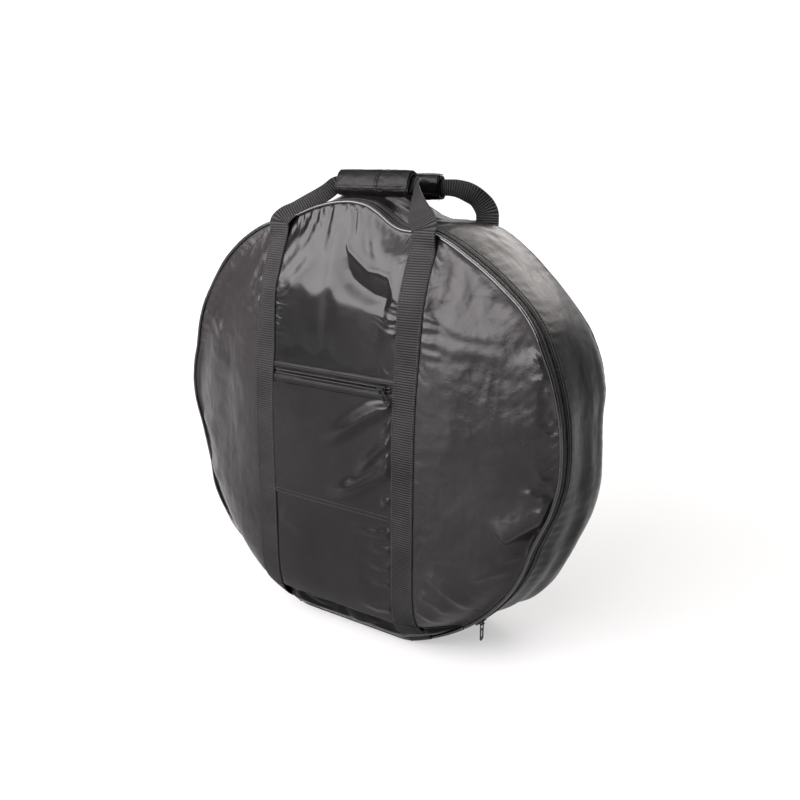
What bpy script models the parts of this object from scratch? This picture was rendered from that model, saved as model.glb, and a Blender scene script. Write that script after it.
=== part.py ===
"""Round zipped carrying bag for a bicycle wheel, standing upright on its edge.

A flat drum of coated cloth: a bulged front panel in five cloth pieces, a side
band, a bulged back panel, piped seams, a long coil zipper just behind the
front seam, a zipped pocket in the middle of the front, two webbing straps
that run round the whole bag and two carrying handles with wrapped grips.

Frame: +X to the right seen from the front, front face towards -Y, +Z up.
Origin at the bottom centre of the bounding box.  Units: metres.
"""
import math

import bmesh
import bpy
from mathutils import Matrix, Vector
from mathutils.bvhtree import BVHTree

# ------------------------------------------------------------------ sizes
BAG_R = 0.350            # rim radius at the piped seams
BAG_DEPTH = 0.160        # rim to rim
ZC = 0.334               # centre above the floor: the rim is flattened there
CORNER_R = 0.060         # rounding where the round rim meets the flat bottom
YS = 0.0130              # moves the bag so that its box is centred on Y
YF = -BAG_DEPTH / 2      # front rim plane, before YS
YB = BAG_DEPTH / 2       # back rim plane, before YS
CLOTH_T = 0.0015         # cloth with its coating and seam turnings
BULGE_F = 0.057          # how far the stuffed front stands out of its rim
BULGE_B = 0.030          # the same for the back
GAP = 0.0003
SEAM_IN = 0.0047         # panel edge inside the rim, room for the piping
PIPE_R = 0.0022
CROWN = 0.006            # outward crown of the side band
SAG = 0.022              # dip of the band between the handle legs

ZIP_Y = YF + 0.018       # centre line of the main zipper
TAPE_T = 0.0008
TAPE_FAR = YF + 0.0340   # far edge of the body-side tape
ZIP_A0 = -52.4           # zipper ends, degrees from +X seen from the front
ZIP_A1 = 232.4
LID_A0 = -48.3           # lid-side half starts past the parked slider
LID_A1 = 228.3
SLIDER_A = -50.0         # parked slider
COIL_H = 0.0024
COIL_W = 0.0028
COIL_GAP = 0.0009        # half of the channel for the slider's post

STRAP_W = 0.039
STRAP_T = 0.0016
STRAP_X = 0.1325         # strap centre lines at +-X
STRAP_GAP = 0.0005

FOLD_Z = 0.056           # height of the fold line that the lid turns on

POCKET_Z = 0.0871        # pocket zipper above the bag's centre
POCKET_SEAM = -0.1072    # lower seam of the pocket, from the centre
SLOT_H = 0.0160          # half height of the pocket zipper's slot
POCKET_SLIDER_X = 0.094

GRIP_HALF = 0.067        # half length of a grip wrap
GRIP_TALL = 0.0185       # half height of its section
GRIP_THICK = 0.0115      # half thickness of its section
FRONT_GRIP = (-0.0205, 0.3665)   # y before YS, z above the bag's centre
BACK_GRIP = (0.0592, 0.3600)
LEG_Z = 0.3118           # where the handle webbing leaves the straps
FRONT_LEG_Y = -0.0893
BACK_LEG_Y = 0.0868

SEG = 60                 # facets round the bag
STEP = 360.0 / SEG

# ---------------------------------------------------------------- colours
BLACK_CLOTH = (0.055, 0.052, 0.052, 1.0)
GREY_CLOTH = (0.085, 0.080, 0.080, 1.0)
WEB = (0.045, 0.045, 0.046, 1.0)
TAPE = (0.030, 0.030, 0.031, 1.0)
PIPING = (0.020, 0.020, 0.021, 1.0)
COIL = (0.022, 0.022, 0.023, 1.0)
METAL = (0.060, 0.060, 0.064, 1.0)


# ---------------------------------------------------------------- set-up
for _ob in list(bpy.data.objects):
    bpy.data.objects.remove(_ob, do_unlink=True)


def material(name, colour, rough, metal=0.0):
    mat = bpy.data.materials.new(name)
    mat.use_nodes = True
    bsdf = mat.node_tree.nodes["Principled BSDF"]
    bsdf.inputs["Base Color"].default_value = colour
    bsdf.inputs["Roughness"].default_value = rough
    bsdf.inputs["Metallic"].default_value = metal
    return mat


def empty(name, where, parent=None):
    ob = bpy.data.objects.new(name, None)
    ob.location = where
    bpy.context.scene.collection.objects.link(ob)
    if parent is not None:
        bpy.context.view_layer.update()
        ob.parent = parent
        ob.matrix_parent_inverse = parent.matrix_world.inverted()
    bpy.context.view_layer.update()
    return ob


def finish(name, bm, look, parent=None, place=None):
    """Turn a bmesh into an object with its own material."""
    bmesh.ops.remove_doubles(bm, verts=bm.verts, dist=1e-6)
    bmesh.ops.recalc_face_normals(bm, faces=bm.faces)
    mesh = bpy.data.meshes.new(name)
    bm.to_mesh(mesh)
    bm.free()
    ob = bpy.data.objects.new(name, mesh)
    bpy.context.scene.collection.objects.link(ob)
    if look is not None:
        mesh.materials.append(material(name + "_mat", *look))
    mesh.shade_smooth()
    mesh.set_sharp_from_angle(angle=math.radians(35))
    if place is not None:
        ob.matrix_world = place
    if parent is not None:
        bpy.context.view_layer.update()
        keep = ob.matrix_world.copy()
        ob.parent = parent
        ob.matrix_parent_inverse = parent.matrix_world.inverted()
        ob.matrix_world = keep
    return ob


def world(x, y, z):
    """Bag coordinates, from the disc's centre, to the object's frame."""
    return Vector((x, y + YS, z + ZC))


def sweep(sections, closed=False):
    """Skin a row of equal sections; open rows get capped ends."""
    bm = bmesh.new()
    rows = [[bm.verts.new(p) for p in sec] for sec in sections]
    n = len(rows[0])
    last = len(rows) if closed else len(rows) - 1
    for i in range(last):
        a, b = rows[i], rows[(i + 1) % len(rows)]
        for k in range(n):
            bm.faces.new((a[k], a[(k + 1) % n], b[(k + 1) % n], b[k]))
    if not closed:
        bm.faces.new(rows[0][::-1])
        bm.faces.new(rows[-1])
    bmesh.ops.triangulate(bm, faces=bm.faces)
    return bm


def sheet(outer, inner, ring=False, pole=False):
    """Closed sheet between two grids [i][j].  ring: i wraps round.
    pole: row j = 0 of each grid is one point."""
    bm = bmesh.new()
    ni, nj = len(outer), len(outer[0])

    def grid(pts):
        out = []
        centre = bm.verts.new(pts[0][0]) if pole else None
        for row in pts:
            out.append([centre if (pole and j == 0) else bm.verts.new(p)
                        for j, p in enumerate(row)])
        return out

    o, n = grid(outer), grid(inner)
    last = ni if ring else ni - 1

    def face(*verts):
        uniq = []
        for v in verts:
            if v not in uniq:
                uniq.append(v)
        if len(uniq) > 2:
            bm.faces.new(uniq)

    for i in range(last):
        k = (i + 1) % ni
        for j in range(nj - 1):
            face(o[i][j], o[k][j], o[k][j + 1], o[i][j + 1])
            face(n[i][j + 1], n[k][j + 1], n[k][j], n[i][j])
        face(o[i][nj - 1], o[k][nj - 1], n[k][nj - 1], n[i][nj - 1])
        if not pole:
            face(n[i][0], n[k][0], o[k][0], o[i][0])
    if not ring:
        for j in range(nj - 1):
            face(o[0][j], o[0][j + 1], n[0][j + 1], n[0][j])
            face(n[-1][j], n[-1][j + 1], o[-1][j + 1], o[-1][j])
    bmesh.ops.triangulate(bm, faces=bm.faces)
    return bm


def box_bm(lo, hi):
    bm = bmesh.new()
    bmesh.ops.create_cube(bm, size=1.0)
    for v in bm.verts:
        v.co = Vector([lo[k] + (v.co[k] + 0.5) * (hi[k] - lo[k]) for k in range(3)])
    return bm


def boolean(ob, tool, op):
    """Combine ob with tool and drop the tool."""
    mod = ob.modifiers.new(op.lower(), "BOOLEAN")
    mod.operation = op
    mod.solver = "EXACT"
    mod.object = tool
    bpy.context.view_layer.update()
    deps = bpy.context.evaluated_depsgraph_get()
    mesh = bpy.data.meshes.new_from_object(ob.evaluated_get(deps))
    ob.modifiers.remove(mod)
    old = ob.data
    mats = [m for m in old.materials]
    ob.data = mesh
    mesh.materials.clear()
    for m in mats:
        mesh.materials.append(m)
    bm = bmesh.new()
    bm.from_mesh(mesh)
    bmesh.ops.remove_doubles(bm, verts=bm.verts, dist=2e-6)
    bmesh.ops.dissolve_degenerate(bm, edges=bm.edges, dist=2e-6)
    bmesh.ops.triangulate(bm, faces=bm.faces)
    bm.to_mesh(mesh)
    bm.free()
    mesh.shade_smooth()
    mesh.set_sharp_from_angle(angle=math.radians(35))
    bpy.data.objects.remove(tool, do_unlink=True)
    return ob


# ------------------------------------------------------- shape of the bag
CORNER_X = math.sqrt((BAG_R - CORNER_R) ** 2 - (ZC - CORNER_R) ** 2)
FLAT_A = math.atan2(-ZC, CORNER_X)
ROUND_A = math.atan2(-(ZC - CORNER_R), CORNER_X)
ROUND_X = CORNER_X * BAG_R / (BAG_R - CORNER_R)


def rim_r(deg):
    """Radius of the flattened rim in a direction from the centre."""
    a = math.radians(deg)
    c, s = abs(math.cos(a)), math.sin(a)
    ang = math.atan2(s, c)
    if ang >= ROUND_A:
        return BAG_R
    if ang <= FLAT_A:
        return ZC / -s
    d = c * CORNER_X - s * (ZC - CORNER_R)
    return d + math.sqrt(max(d * d - (BAG_R - CORNER_R) ** 2 + CORNER_R ** 2, 0.0))


def rim_depth(x):
    """Depth of the rim's bottom below the centre at x."""
    ax = abs(x)
    if ax <= CORNER_X:
        return ZC
    if ax <= ROUND_X:
        return ZC - CORNER_R + math.sqrt(CORNER_R ** 2 - (ax - CORNER_X) ** 2)
    return math.sqrt(max(BAG_R ** 2 - ax * ax, 1e-9))


def sag(deg):
    """Dip between the handle legs, greatest at the top."""
    u = abs((deg - 90.0 + 180.0) % 360.0 - 180.0) / 25.0
    return SAG * math.cos(min(u, 1.0) * math.pi / 2) ** 2


PANEL_R = BAG_R - SEAM_IN


def bulge(x, z, height):
    """How far a panel stands out at (x, z): flat in the middle column,
    falling to the rim at the sides and top, hanging low to a lip."""
    ax = abs(x)
    flat = 0.115
    rad = math.hypot(x, z)
    if rad < 1e-9:
        return height
    rho = rad / (rim_r(math.degrees(math.atan2(z, ax))) - SEAM_IN)
    if rho >= 1.0:
        return 0.0
    if z >= 0:
        up = 1.0 - (z / math.sqrt(PANEL_R ** 2 - min(ax, PANEL_R * 0.9999) ** 2)) ** 2.0
    else:
        up = 1.0 - (-z / max(rim_depth(ax) - SEAM_IN, 0.02)) ** 12
    wide = max(math.sqrt(max(PANEL_R ** 2 - z * z, 0.0)), flat + 0.02)
    t = min(max((ax - flat) / (wide - flat), 0.0), 1.0)
    side = 1.0 - t ** (2.0 + 2.0 * max(-z / ZC, 0.0))
    return height * max(up, 0.0) * max(side, 0.0) * (1.0 - rho ** 40)


def front_y(x, z):
    return YF - bulge(x, z, BULGE_F)


def back_y(x, z):
    return YB + bulge(x, z, BULGE_B)


def panel_grids(side, rings, dip=False):
    """Outer and inner grids of a whole round panel; side -1 front, 1 back."""
    outer, inner = [], []
    surf = front_y if side < 0 else back_y

    def edge(a):
        return rim_r(a) - SEAM_IN - (sag(a) if dip else 0.0)

    def point(rho, a):
        rr = edge(a) * rho
        x = rr * math.cos(math.radians(a))
        z = rr * math.sin(math.radians(a))
        # keep the bulge tied to the panel's own edge where it dips
        full = rim_r(a) - SEAM_IN
        xs = full * rho * math.cos(math.radians(a))
        zs = full * rho * math.sin(math.radians(a))
        return Vector((x, surf(xs, zs), z))

    for i in range(SEG):
        a = -90.0 + STEP * i
        ro, ri = [], []
        for rho in rings:
            p = point(rho, a)
            if rho == 0.0:
                n = Vector((0, side, 0))
            else:
                e = 0.004
                du = point(min(rho + e, 1.0), a) - point(max(rho - e, 0.0), a)
                dv = point(rho, a + 0.5) - point(rho, a - 0.5)
                n = du.cross(dv).normalized()
                if n.y * side < 0:
                    n = -n
            ro.append(world(*p))
            ri.append(world(*(p - n * CLOTH_T)))
        outer.append(ro)
        inner.append(ri)
    return outer, inner


def arc_angles(a0, a1):
    """Ends plus the shared facet angles between them."""
    out = [a0]
    k = math.ceil((a0 + 90.0 + 0.4) / STEP)
    while -90.0 + k * STEP < a1 - 0.4:
        out.append(-90.0 + k * STEP)
        k += 1
    out.append(a1)
    return out


def ring_point(a, r, y):
    c, s = math.cos(math.radians(a)), math.sin(math.radians(a))
    return world(r * c, y, r * s)


def band(angles, section, closed=False):
    """Sweep a (dr, y) section round the rim."""
    rows = []
    for a in angles:
        r = rim_r(a)
        rows.append([ring_point(a, r + dr, y) for dr, y in section])
    return sweep(rows, closed)


def full_ring():
    return [-90.0 + STEP * i for i in range(SEG)]


def disc_section(r, dr, y, sides=6):
    return [(dr + r * math.cos(2 * math.pi * k / sides),
             y + r * math.sin(2 * math.pi * k / sides)) for k in range(sides)]


def rect(dr0, dr1, y0, y1):
    return [(dr0, y0), (dr1, y0), (dr1, y1), (dr0, y1)]


def raise_clear(grid, tree, side, gap):
    """Lift a sheet's grid of (x, z) points off a faceted panel by gap."""
    for _ in range(6):
        need = [[0.0] * len(grid[0]) for _ in grid]
        for i in range(len(grid) - 1):
            for j in range(len(grid[0]) - 1):
                p, q, r, t = grid[i][j], grid[i + 1][j], grid[i][j + 1], grid[i + 1][j + 1]
                worst = 0.0
                for u in (0.0, 0.2, 0.4, 0.6, 0.8, 1.0):
                    for v in (0.0, 0.25, 0.5, 0.75, 1.0):
                        pos = (p * (1 - u) * (1 - v) + q * u * (1 - v)
                               + r * (1 - u) * v + t * u * v)
                        hit = tree.ray_cast(Vector((pos.x, side * 0.6, pos.z)),
                                            Vector((0, -side, 0)))[0]
                        if hit is None:
                            continue
                        if u >= v:
                            one = p.y * (1 - u) + q.y * (u - v) + t.y * v
                        else:
                            one = p.y * (1 - v) + r.y * (v - u) + t.y * u
                        if u + v <= 1:
                            two = p.y * (1 - u - v) + q.y * u + r.y * v
                        else:
                            two = t.y * (u + v - 1) + r.y * (1 - u) + q.y * (1 - v)
                        low = min(side * one, side * two)
                        worst = max(worst, side * hit.y + gap - low)
                for a, b in ((i, j), (i + 1, j), (i, j + 1), (i + 1, j + 1)):
                    need[a][b] = max(need[a][b], worst)
        if max(max(row) for row in need) < 2e-6:
            break
        for i, row in enumerate(grid):
            for j, point in enumerate(row):
                point.y += side * need[i][j]
    return grid


def panel_tree(bm):
    """Search tree of a panel's facets in bag coordinates."""
    for v in bm.verts:
        v.co = v.co - world(0, 0, 0)
    tree = BVHTree.FromBMesh(bm)
    bm.free()
    return tree


# ------------------------------------------------------------ joint frames
FOLD_Y = min(front_y(x, FOLD_Z - ZC - 0.002) for x in (0.0, 0.11, STRAP_X)) - 0.0034
lid_hinge = empty("lid_hinge_axis", (0, FOLD_Y + YS, FOLD_Z))
zip_centre = empty("main_zip_axis", (0, ZIP_Y + YS, ZC))
front_pivot = empty("front_handle_axis", (0, FRONT_LEG_Y + YS, LEG_Z - 0.0002 + ZC),
                    lid_hinge)
back_pivot = empty("back_handle_axis", (0, BACK_LEG_Y + YS, LEG_Z - 0.0002 + ZC))

CLOTH_LOOK = (BLACK_CLOTH, 0.42)
SATIN_LOOK = (GREY_CLOTH, 0.38)
WEB_LOOK = (WEB, 0.80)
TAPE_LOOK = (TAPE, 0.75)
PIPE_LOOK = (PIPING, 0.35)
COIL_LOOK = (COIL, 0.40)
METAL_LOOK = (METAL, 0.35, 0.9)

# ------------------------------------------------------------ front panels
FRONT_RINGS = (0.0, 0.22, 0.42, 0.58, 0.71, 0.81, 0.885, 0.94, 0.97, 0.988, 1.0)


def front_piece(name, lo, hi, parent, look):
    """One cloth piece of the front, cut out of the whole bulged shell."""
    ob = finish(name, sheet(*panel_grids(-1, FRONT_RINGS), ring=True, pole=True), look)
    tool = finish(name + "_cutter", box_bm(lo, hi), None)
    tool.hide_render = True
    tool.display_type = "WIRE"
    boolean(ob, tool, "INTERSECT")
    bpy.context.view_layer.update()
    if parent is not None:
        ob.parent = parent
        ob.matrix_parent_inverse = parent.matrix_world.inverted()
    return ob


Y0, Y1 = -0.30, 0.10
HALF = GAP / 2
front_piece("front_panel_lower", (-1, Y0, -0.1), (1, Y1, FOLD_Z - 0.0004), None, CLOTH_LOOK)
front_piece("front_panel_left", (-1, Y0, FOLD_Z + 0.0004), (-STRAP_X - HALF, Y1, 1),
            lid_hinge, SATIN_LOOK)
front_piece("front_panel_right", (STRAP_X + HALF, Y0, FOLD_Z + 0.0004), (1, Y1, 1),
            lid_hinge, SATIN_LOOK)
front_piece("front_panel_top", (-STRAP_X + HALF, Y0, ZC + POCKET_Z + SLOT_H),
            (STRAP_X - HALF, Y1, 1), lid_hinge, SATIN_LOOK)
front_piece("pocket_front_panel", (-STRAP_X + HALF, Y0, FOLD_Z + 0.0004),
            (STRAP_X - HALF, Y1, ZC + POCKET_Z - SLOT_H), lid_hinge, CLOTH_LOOK)

# ------------------------------------------------------ side band and back
GUSSET_YS = (TAPE_FAR + GAP, -0.038, -0.030, -0.018, 0.008, 0.036, 0.060,
             YB - PIPE_R - 2 * GAP)


def gusset_r(a, y):
    """Outer radius of the side band: crowned, flat underneath, dipped on top."""
    y0, y1 = GUSSET_YS[0], GUSSET_YS[-1]
    u = (y - y0) / (y1 - y0)
    up = min(max((math.sin(math.radians(a)) + 0.80) / 0.35, 0.0), 1.0)
    crown = CROWN * 4 * u * (1 - u) * up * up * (3 - 2 * up)
    t = min(max((y - (y0 + 0.004)) / 0.022, 0.0), 1.0)
    return rim_r(a) + crown - sag(a) * t * t * (3 - 2 * t)


outer = [[ring_point(a, gusset_r(a, y), y) for y in GUSSET_YS] for a in full_ring()]
inner = [[ring_point(a, gusset_r(a, y) - CLOTH_T, y) for y in GUSSET_YS] for a in full_ring()]
finish("side_band", sheet(outer, inner, ring=True), SATIN_LOOK)

BACK_RINGS = (0.0, 0.35, 0.60, 0.78, 0.89, 0.95, 0.98, 1.0)
finish("back_panel", sheet(*panel_grids(1, BACK_RINGS, dip=True), ring=True, pole=True),
       CLOTH_LOOK)

rows = []
for a in full_ring():
    r = rim_r(a) - sag(a)
    rows.append([ring_point(a, r + dr, y) for dr, y in disc_section(PIPE_R, -PIPE_R, YB)])
finish("back_piping", sweep(rows, True), PIPE_LOOK)

# the fold line meets the front rim here
FOLD_A = -math.degrees(math.asin((ZC - FOLD_Z) / (BAG_R - PIPE_R)))
pipe = disc_section(PIPE_R, -PIPE_R, YF)
finish("front_piping", band(arc_angles(FOLD_A + 0.20, 180 - FOLD_A - 0.20), pipe),
       PIPE_LOOK, lid_hinge)
finish("front_piping_lower", band(arc_angles(-180 - FOLD_A + 0.35, FOLD_A - 0.35), pipe),
       PIPE_LOOK)

# ------------------------------------------------------------- main zipper
body_angles = arc_angles(ZIP_A0, ZIP_A1)
lid_angles = arc_angles(LID_A0, LID_A1)
finish("main_zip_tape_body",
       band(body_angles, rect(-TAPE_T, 0, ZIP_Y + 0.0010, TAPE_FAR)), TAPE_LOOK)
finish("main_zip_coil_body",
       band(arc_angles(ZIP_A0 + 1.1, ZIP_A1 - 1.1),
            rect(GAP, GAP + COIL_H, ZIP_Y + COIL_GAP, ZIP_Y + COIL_GAP + COIL_W)), COIL_LOOK)
finish("main_zip_tape_lid",
       band(lid_angles, rect(-TAPE_T, 0, YF + PIPE_R + 2 * GAP, ZIP_Y - 0.0010)),
       TAPE_LOOK, lid_hinge)
finish("main_zip_coil_lid",
       band(lid_angles, rect(GAP, GAP + COIL_H, ZIP_Y - COIL_GAP - COIL_W, ZIP_Y - COIL_GAP)),
       COIL_LOOK, lid_hinge)


def stop_bm(a):
    """End stop clipped over the end of the body-side coil."""
    return band([a - 0.28, a + 0.28],
                rect(GAP, 0.0034, ZIP_Y + COIL_GAP, ZIP_Y + COIL_GAP + COIL_W + 0.0006))


finish("main_zip_stop_right", stop_bm(ZIP_A0 + 0.5), METAL_LOOK)
finish("main_zip_stop_left", stop_bm(ZIP_A1 - 0.5), METAL_LOOK)

# cloth strip that closes the zipper's ring round the bottom
finish("bottom_hinge_strip",
       band(arc_angles(-180 - ZIP_A0 + 0.3, ZIP_A0 - 0.3),
            rect(-CLOTH_T, 0, YF + PIPE_R + 2 * GAP, TAPE_FAR)), CLOTH_LOOK)

# ----------------------------------------------------------- zipper slider
PLATE_T = 0.0013
SLIDER_L = 0.015
BRIDGE_H = 0.0040
PIVOT_H = GAP + COIL_H + 0.0005 + PLATE_T + 0.0018   # crossbar above the tape


def cells_bm(xs, ys, zs, filled):
    """One closed body made of the filled cells of a box grid."""
    bm = bmesh.new()
    verts = {}

    def v(i, j, k):
        if (i, j, k) not in verts:
            verts[(i, j, k)] = bm.verts.new((xs[i], ys[j], zs[k]))
        return verts[(i, j, k)]

    def on(i, j, k):
        return (0 <= i < len(xs) - 1 and 0 <= j < len(ys) - 1
                and 0 <= k < len(zs) - 1 and filled(i, j, k))

    for i in range(len(xs) - 1):
        for j in range(len(ys) - 1):
            for k in range(len(zs) - 1):
                if not on(i, j, k):
                    continue
                p, q, r = i + 1, j + 1, k + 1
                if not on(i - 1, j, k):
                    bm.faces.new((v(i, j, k), v(i, j, r), v(i, q, r), v(i, q, k)))
                if not on(p, j, k):
                    bm.faces.new((v(p, j, k), v(p, q, k), v(p, q, r), v(p, j, r)))
                if not on(i, j - 1, k):
                    bm.faces.new((v(i, j, k), v(p, j, k), v(p, j, r), v(i, j, r)))
                if not on(i, q, k):
                    bm.faces.new((v(i, q, k), v(i, q, r), v(p, q, r), v(p, q, k)))
                if not on(i, j, k - 1):
                    bm.faces.new((v(i, j, k), v(i, q, k), v(p, q, k), v(p, j, k)))
                if not on(i, j, r):
                    bm.faces.new((v(i, j, r), v(p, j, r), v(p, q, r), v(i, q, r)))
    bmesh.ops.dissolve_limit(bm, angle_limit=math.radians(1), verts=bm.verts, edges=bm.edges)
    bmesh.ops.triangulate(bm, faces=bm.faces)
    return bm


def slider(name, place, parent):
    """Slider body: local X along the zip, Y across the tape, Z outwards."""
    z1 = GAP + COIL_H + 0.0005
    z2 = z1 + PLATE_T
    fl = COIL_GAP + COIL_W + 0.0005
    w = fl + 0.0011
    zi = -TAPE_T - 0.0013
    top = z2 + BRIDGE_H
    h = SLIDER_L / 2
    xs = (-h, -0.0042, -0.0028, 0.0028, 0.0042, h)
    ys = (-w, -fl, -0.0010, -0.0005, 0.0005, 0.0010, fl, w)
    zs = (zi - PLATE_T, zi, 0.0007, z1, z2, top - 0.0009, top)

    def filled(i, j, k):
        if k in (0, 3):
            return True
        if k == 1:
            return j == 3
        if k == 2:
            return j in (0, 3, 6)
        if j not in (2, 3, 4):
            return False
        return i in (1, 3) if k == 4 else i in (1, 2, 3)

    return finish(name, cells_bm(xs, ys, zs, filled), METAL_LOOK, parent, place)


PULL_L = 0.0275
PULL_W = 0.0046
PULL_T = 0.0014


def pull_bm():
    """Frame-shaped pull: crossbar at the origin, tab along +X, lying flat."""
    xs = (-0.0007, 0.0007, 0.0080, 0.0105, 0.0225, PULL_L - 0.0012, PULL_L)
    ys = (-PULL_W, -0.0032, -0.0022, 0.0022, 0.0032, PULL_W)
    zs = (-PULL_T / 2, PULL_T / 2)

    def filled(i, j, k):
        mid = 1 <= j <= 3
        return not (i == 1 and mid or i == 3 and j == 2 or i == 5 and not mid)

    return cells_bm(xs, ys, zs, filled)


def frame_matrix(xa, ya, za, where):
    m = Matrix.Identity(4)
    for i, axis in enumerate((xa, ya, za)):
        for k in range(3):
            m[k][i] = axis[k]
    m.translation = where
    return m


# main slider: travel round the rim, tape across Y
sa = math.radians(SLIDER_A)
radial = Vector((math.cos(sa), 0, math.sin(sa)))
tangent = Vector((-math.sin(sa), 0, math.cos(sa)))
slider_at = ring_point(SLIDER_A, BAG_R, ZIP_Y)
slider("main_zip_slider", frame_matrix(tangent, radial.cross(tangent), radial, slider_at),
       zip_centre)
main_pivot = empty("main_pull_axis", slider_at + radial * PIVOT_H, zip_centre)
down = Vector((0, 0, -1))
side = Vector((0, -1, 0))
finish("main_zip_pull", pull_bm(), METAL_LOOK, main_pivot,
       frame_matrix(down, side, down.cross(side), main_pivot.matrix_world.translation))

# ---------------------------------------------------------- pocket zipper
# the zipper lies in a plane that follows the slope of the panel
_dy = (front_y(0, POCKET_Z + 0.01) - front_y(0, POCKET_Z - 0.01)) / 0.02
POCKET_UP = Vector((0, _dy, 1)).normalized()
POCKET_OUT = Vector((0, -1, _dy)).normalized()
along = Vector((1, 0, 0))
pocket_at = world(0, front_y(0, POCKET_Z), POCKET_Z) - POCKET_OUT * 0.0014
pocket_place = frame_matrix(along, POCKET_UP, POCKET_OUT, pocket_at)
TAPE_X = STRAP_X - 0.0080
COIL_X = STRAP_X - STRAP_W / 2 - 0.0045


def plate(name, x, v0, v1, h0, h1, look):
    """Flat strip in the plane of the pocket zipper."""
    bm = box_bm((-x, v0, h0), (x, v1, h1))
    return finish(name, bm, look, lid_hinge, pocket_place)


plate("pocket_zip_tape_upper", TAPE_X, 0.0010, SLOT_H - 2 * GAP, -TAPE_T, 0, TAPE_LOOK)
plate("pocket_zip_tape_lower", TAPE_X, -SLOT_H + 2 * GAP, -0.0010, -TAPE_T, 0, TAPE_LOOK)
plate("pocket_zip_coil_upper", COIL_X, COIL_GAP, COIL_GAP + COIL_W, GAP, GAP + COIL_H, COIL_LOOK)
plate("pocket_zip_coil_lower", COIL_X, -COIL_GAP - COIL_W, -COIL_GAP, GAP, GAP + COIL_H, COIL_LOOK)

pocket_axis = empty("pocket_slider_axis", pocket_at + along * POCKET_SLIDER_X, lid_hinge)
out = POCKET_OUT
slider("pocket_zip_slider",
       frame_matrix(along, out.cross(along), out, pocket_axis.matrix_world.translation),
       pocket_axis)
pocket_pivot = empty("pocket_pull_axis",
                     pocket_axis.matrix_world.translation + out * PIVOT_H, pocket_axis)
finish("pocket_zip_pull", pull_bm(), METAL_LOOK, pocket_pivot,
       frame_matrix(along, out.cross(along), out, pocket_pivot.matrix_world.translation))

# pouch of lining cloth behind the pocket, open towards the panel
POUCH_X = STRAP_X - STRAP_W / 2 - 0.0030
POUCH_D = 0.0110
POUCH_T = 0.0012
zs = [POCKET_SEAM + (POCKET_Z + 0.022 - POCKET_SEAM) * k / 5 for k in range(6)]


def pouch_block(name, x, dy0, dy1, zlist):
    rows = []
    for z in zlist:
        y = max(front_y(0, z), front_y(POUCH_X, z)) + CLOTH_T
        rows.append([world(-x, y + dy0, z), world(x, y + dy0, z),
                     world(x, y + dy1, z), world(-x, y + dy1, z)])
    return finish(name, sweep(rows), SATIN_LOOK)


pouch = pouch_block("pocket_pouch", POUCH_X, 0.0018, POUCH_D, zs)
zin = [zs[0] + POUCH_T] + zs[1:-1] + [zs[-1] - POUCH_T]
hollow = pouch_block("pocket_pouch_hollow", POUCH_X - POUCH_T, -0.01, POUCH_D - POUCH_T, zin)
boolean(pouch, hollow, "DIFFERENCE")
bpy.context.view_layer.update()
pouch.parent = lid_hinge
pouch.matrix_parent_inverse = lid_hinge.matrix_world.inverted()

# ------------------------------------------------------------------ straps
HW = STRAP_W / 2


front_tree = panel_tree(sheet(*panel_grids(-1, FRONT_RINGS), ring=True, pole=True))
back_tree = panel_tree(sheet(*panel_grids(1, BACK_RINGS, dip=True), ring=True, pole=True))


def strap_cols(x):
    return [x - HW, x - HW / 3, x + HW / 3, x + HW]


def strap_face(x, side, z0, z1, n):
    """Inner surface of the webbing on the front (-1) or back (1) panel."""
    surf, tree = (front_y, front_tree) if side < 0 else (back_y, back_tree)
    grid = []
    for i in range(n + 1):
        t = i / n
        z = z0 + (z1 - z0) * (1 - (1 - t) ** 1.2)
        grid.append([Vector((c, surf(c, z) + side * STRAP_GAP, z)) for c in strap_cols(x)])
    return raise_clear(grid, tree, side, STRAP_GAP)


def strap_sheet(name, grid, side, parent=None):
    outer = [[world(p.x, p.y + side * STRAP_T, p.z) for p in row] for row in grid]
    inner = [[world(*p) for p in row] for row in grid]
    finish(name, sheet(outer, inner), WEB_LOOK, parent)


def strap_front(name, x):
    """Webbing sewn flat on the front, from the fold line to the handle leg."""
    grid = strap_face(x, -1, FOLD_Z - ZC + 0.0012, LEG_Z - 0.0034, 20)
    strap_sheet(name, grid, -1, lid_hinge)


BACK_LIP = 0.024          # the back strap starts this far above the rim


def strap_back(name, x):
    """The same webbing going up the back to the back handle."""
    grid = strap_face(x, 1, -rim_depth(x) + BACK_LIP, LEG_Z - 0.0034, 16)
    strap_sheet(name, grid, 1)


def strap_under(name, x):
    """From the fold line round the front lip, under the bag and up the back lip."""
    front = strap_face(x, -1, FOLD_Z - ZC - 0.0012, -rim_depth(abs(x) + HW) + 0.0085, 8)
    back = strap_face(x, 1, -rim_depth(x) + BACK_LIP - 0.0010,
                      -rim_depth(abs(x) + HW) + 0.0085, 3)
    inner, outer = [], []
    for j, c in enumerate(strap_cols(x)):
        d = rim_depth(c)
        path = [Vector((row[j].y, row[j].z)) for row in front]
        for y, side in ((YF, -1), (YB, 1)):
            turn = [Vector((y + side * 0.0032, -d + 0.0024)),
                    Vector((y + side * 0.0022, -d + 0.0004)),
                    Vector((y, -d - 0.0005)), Vector((y - side * 0.012, -d - 0.0005))]
            path += turn if side < 0 else [Vector((0.0, -d - 0.0005))] + turn[::-1]
        path += [Vector((row[j].y, row[j].z)) for row in reversed(back)]
        off = []
        for k, p in enumerate(path):
            t = path[min(k + 1, len(path) - 1)] - path[max(k - 1, 0)]
            n = Vector((t.y, -t.x)).normalized()
            off.append(p + n * STRAP_T)
        inner.append([world(c, p.x, p.y) for p in path])
        outer.append([world(c, p.x, p.y) for p in off])
    finish(name, sheet(outer, inner), WEB_LOOK)


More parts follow.
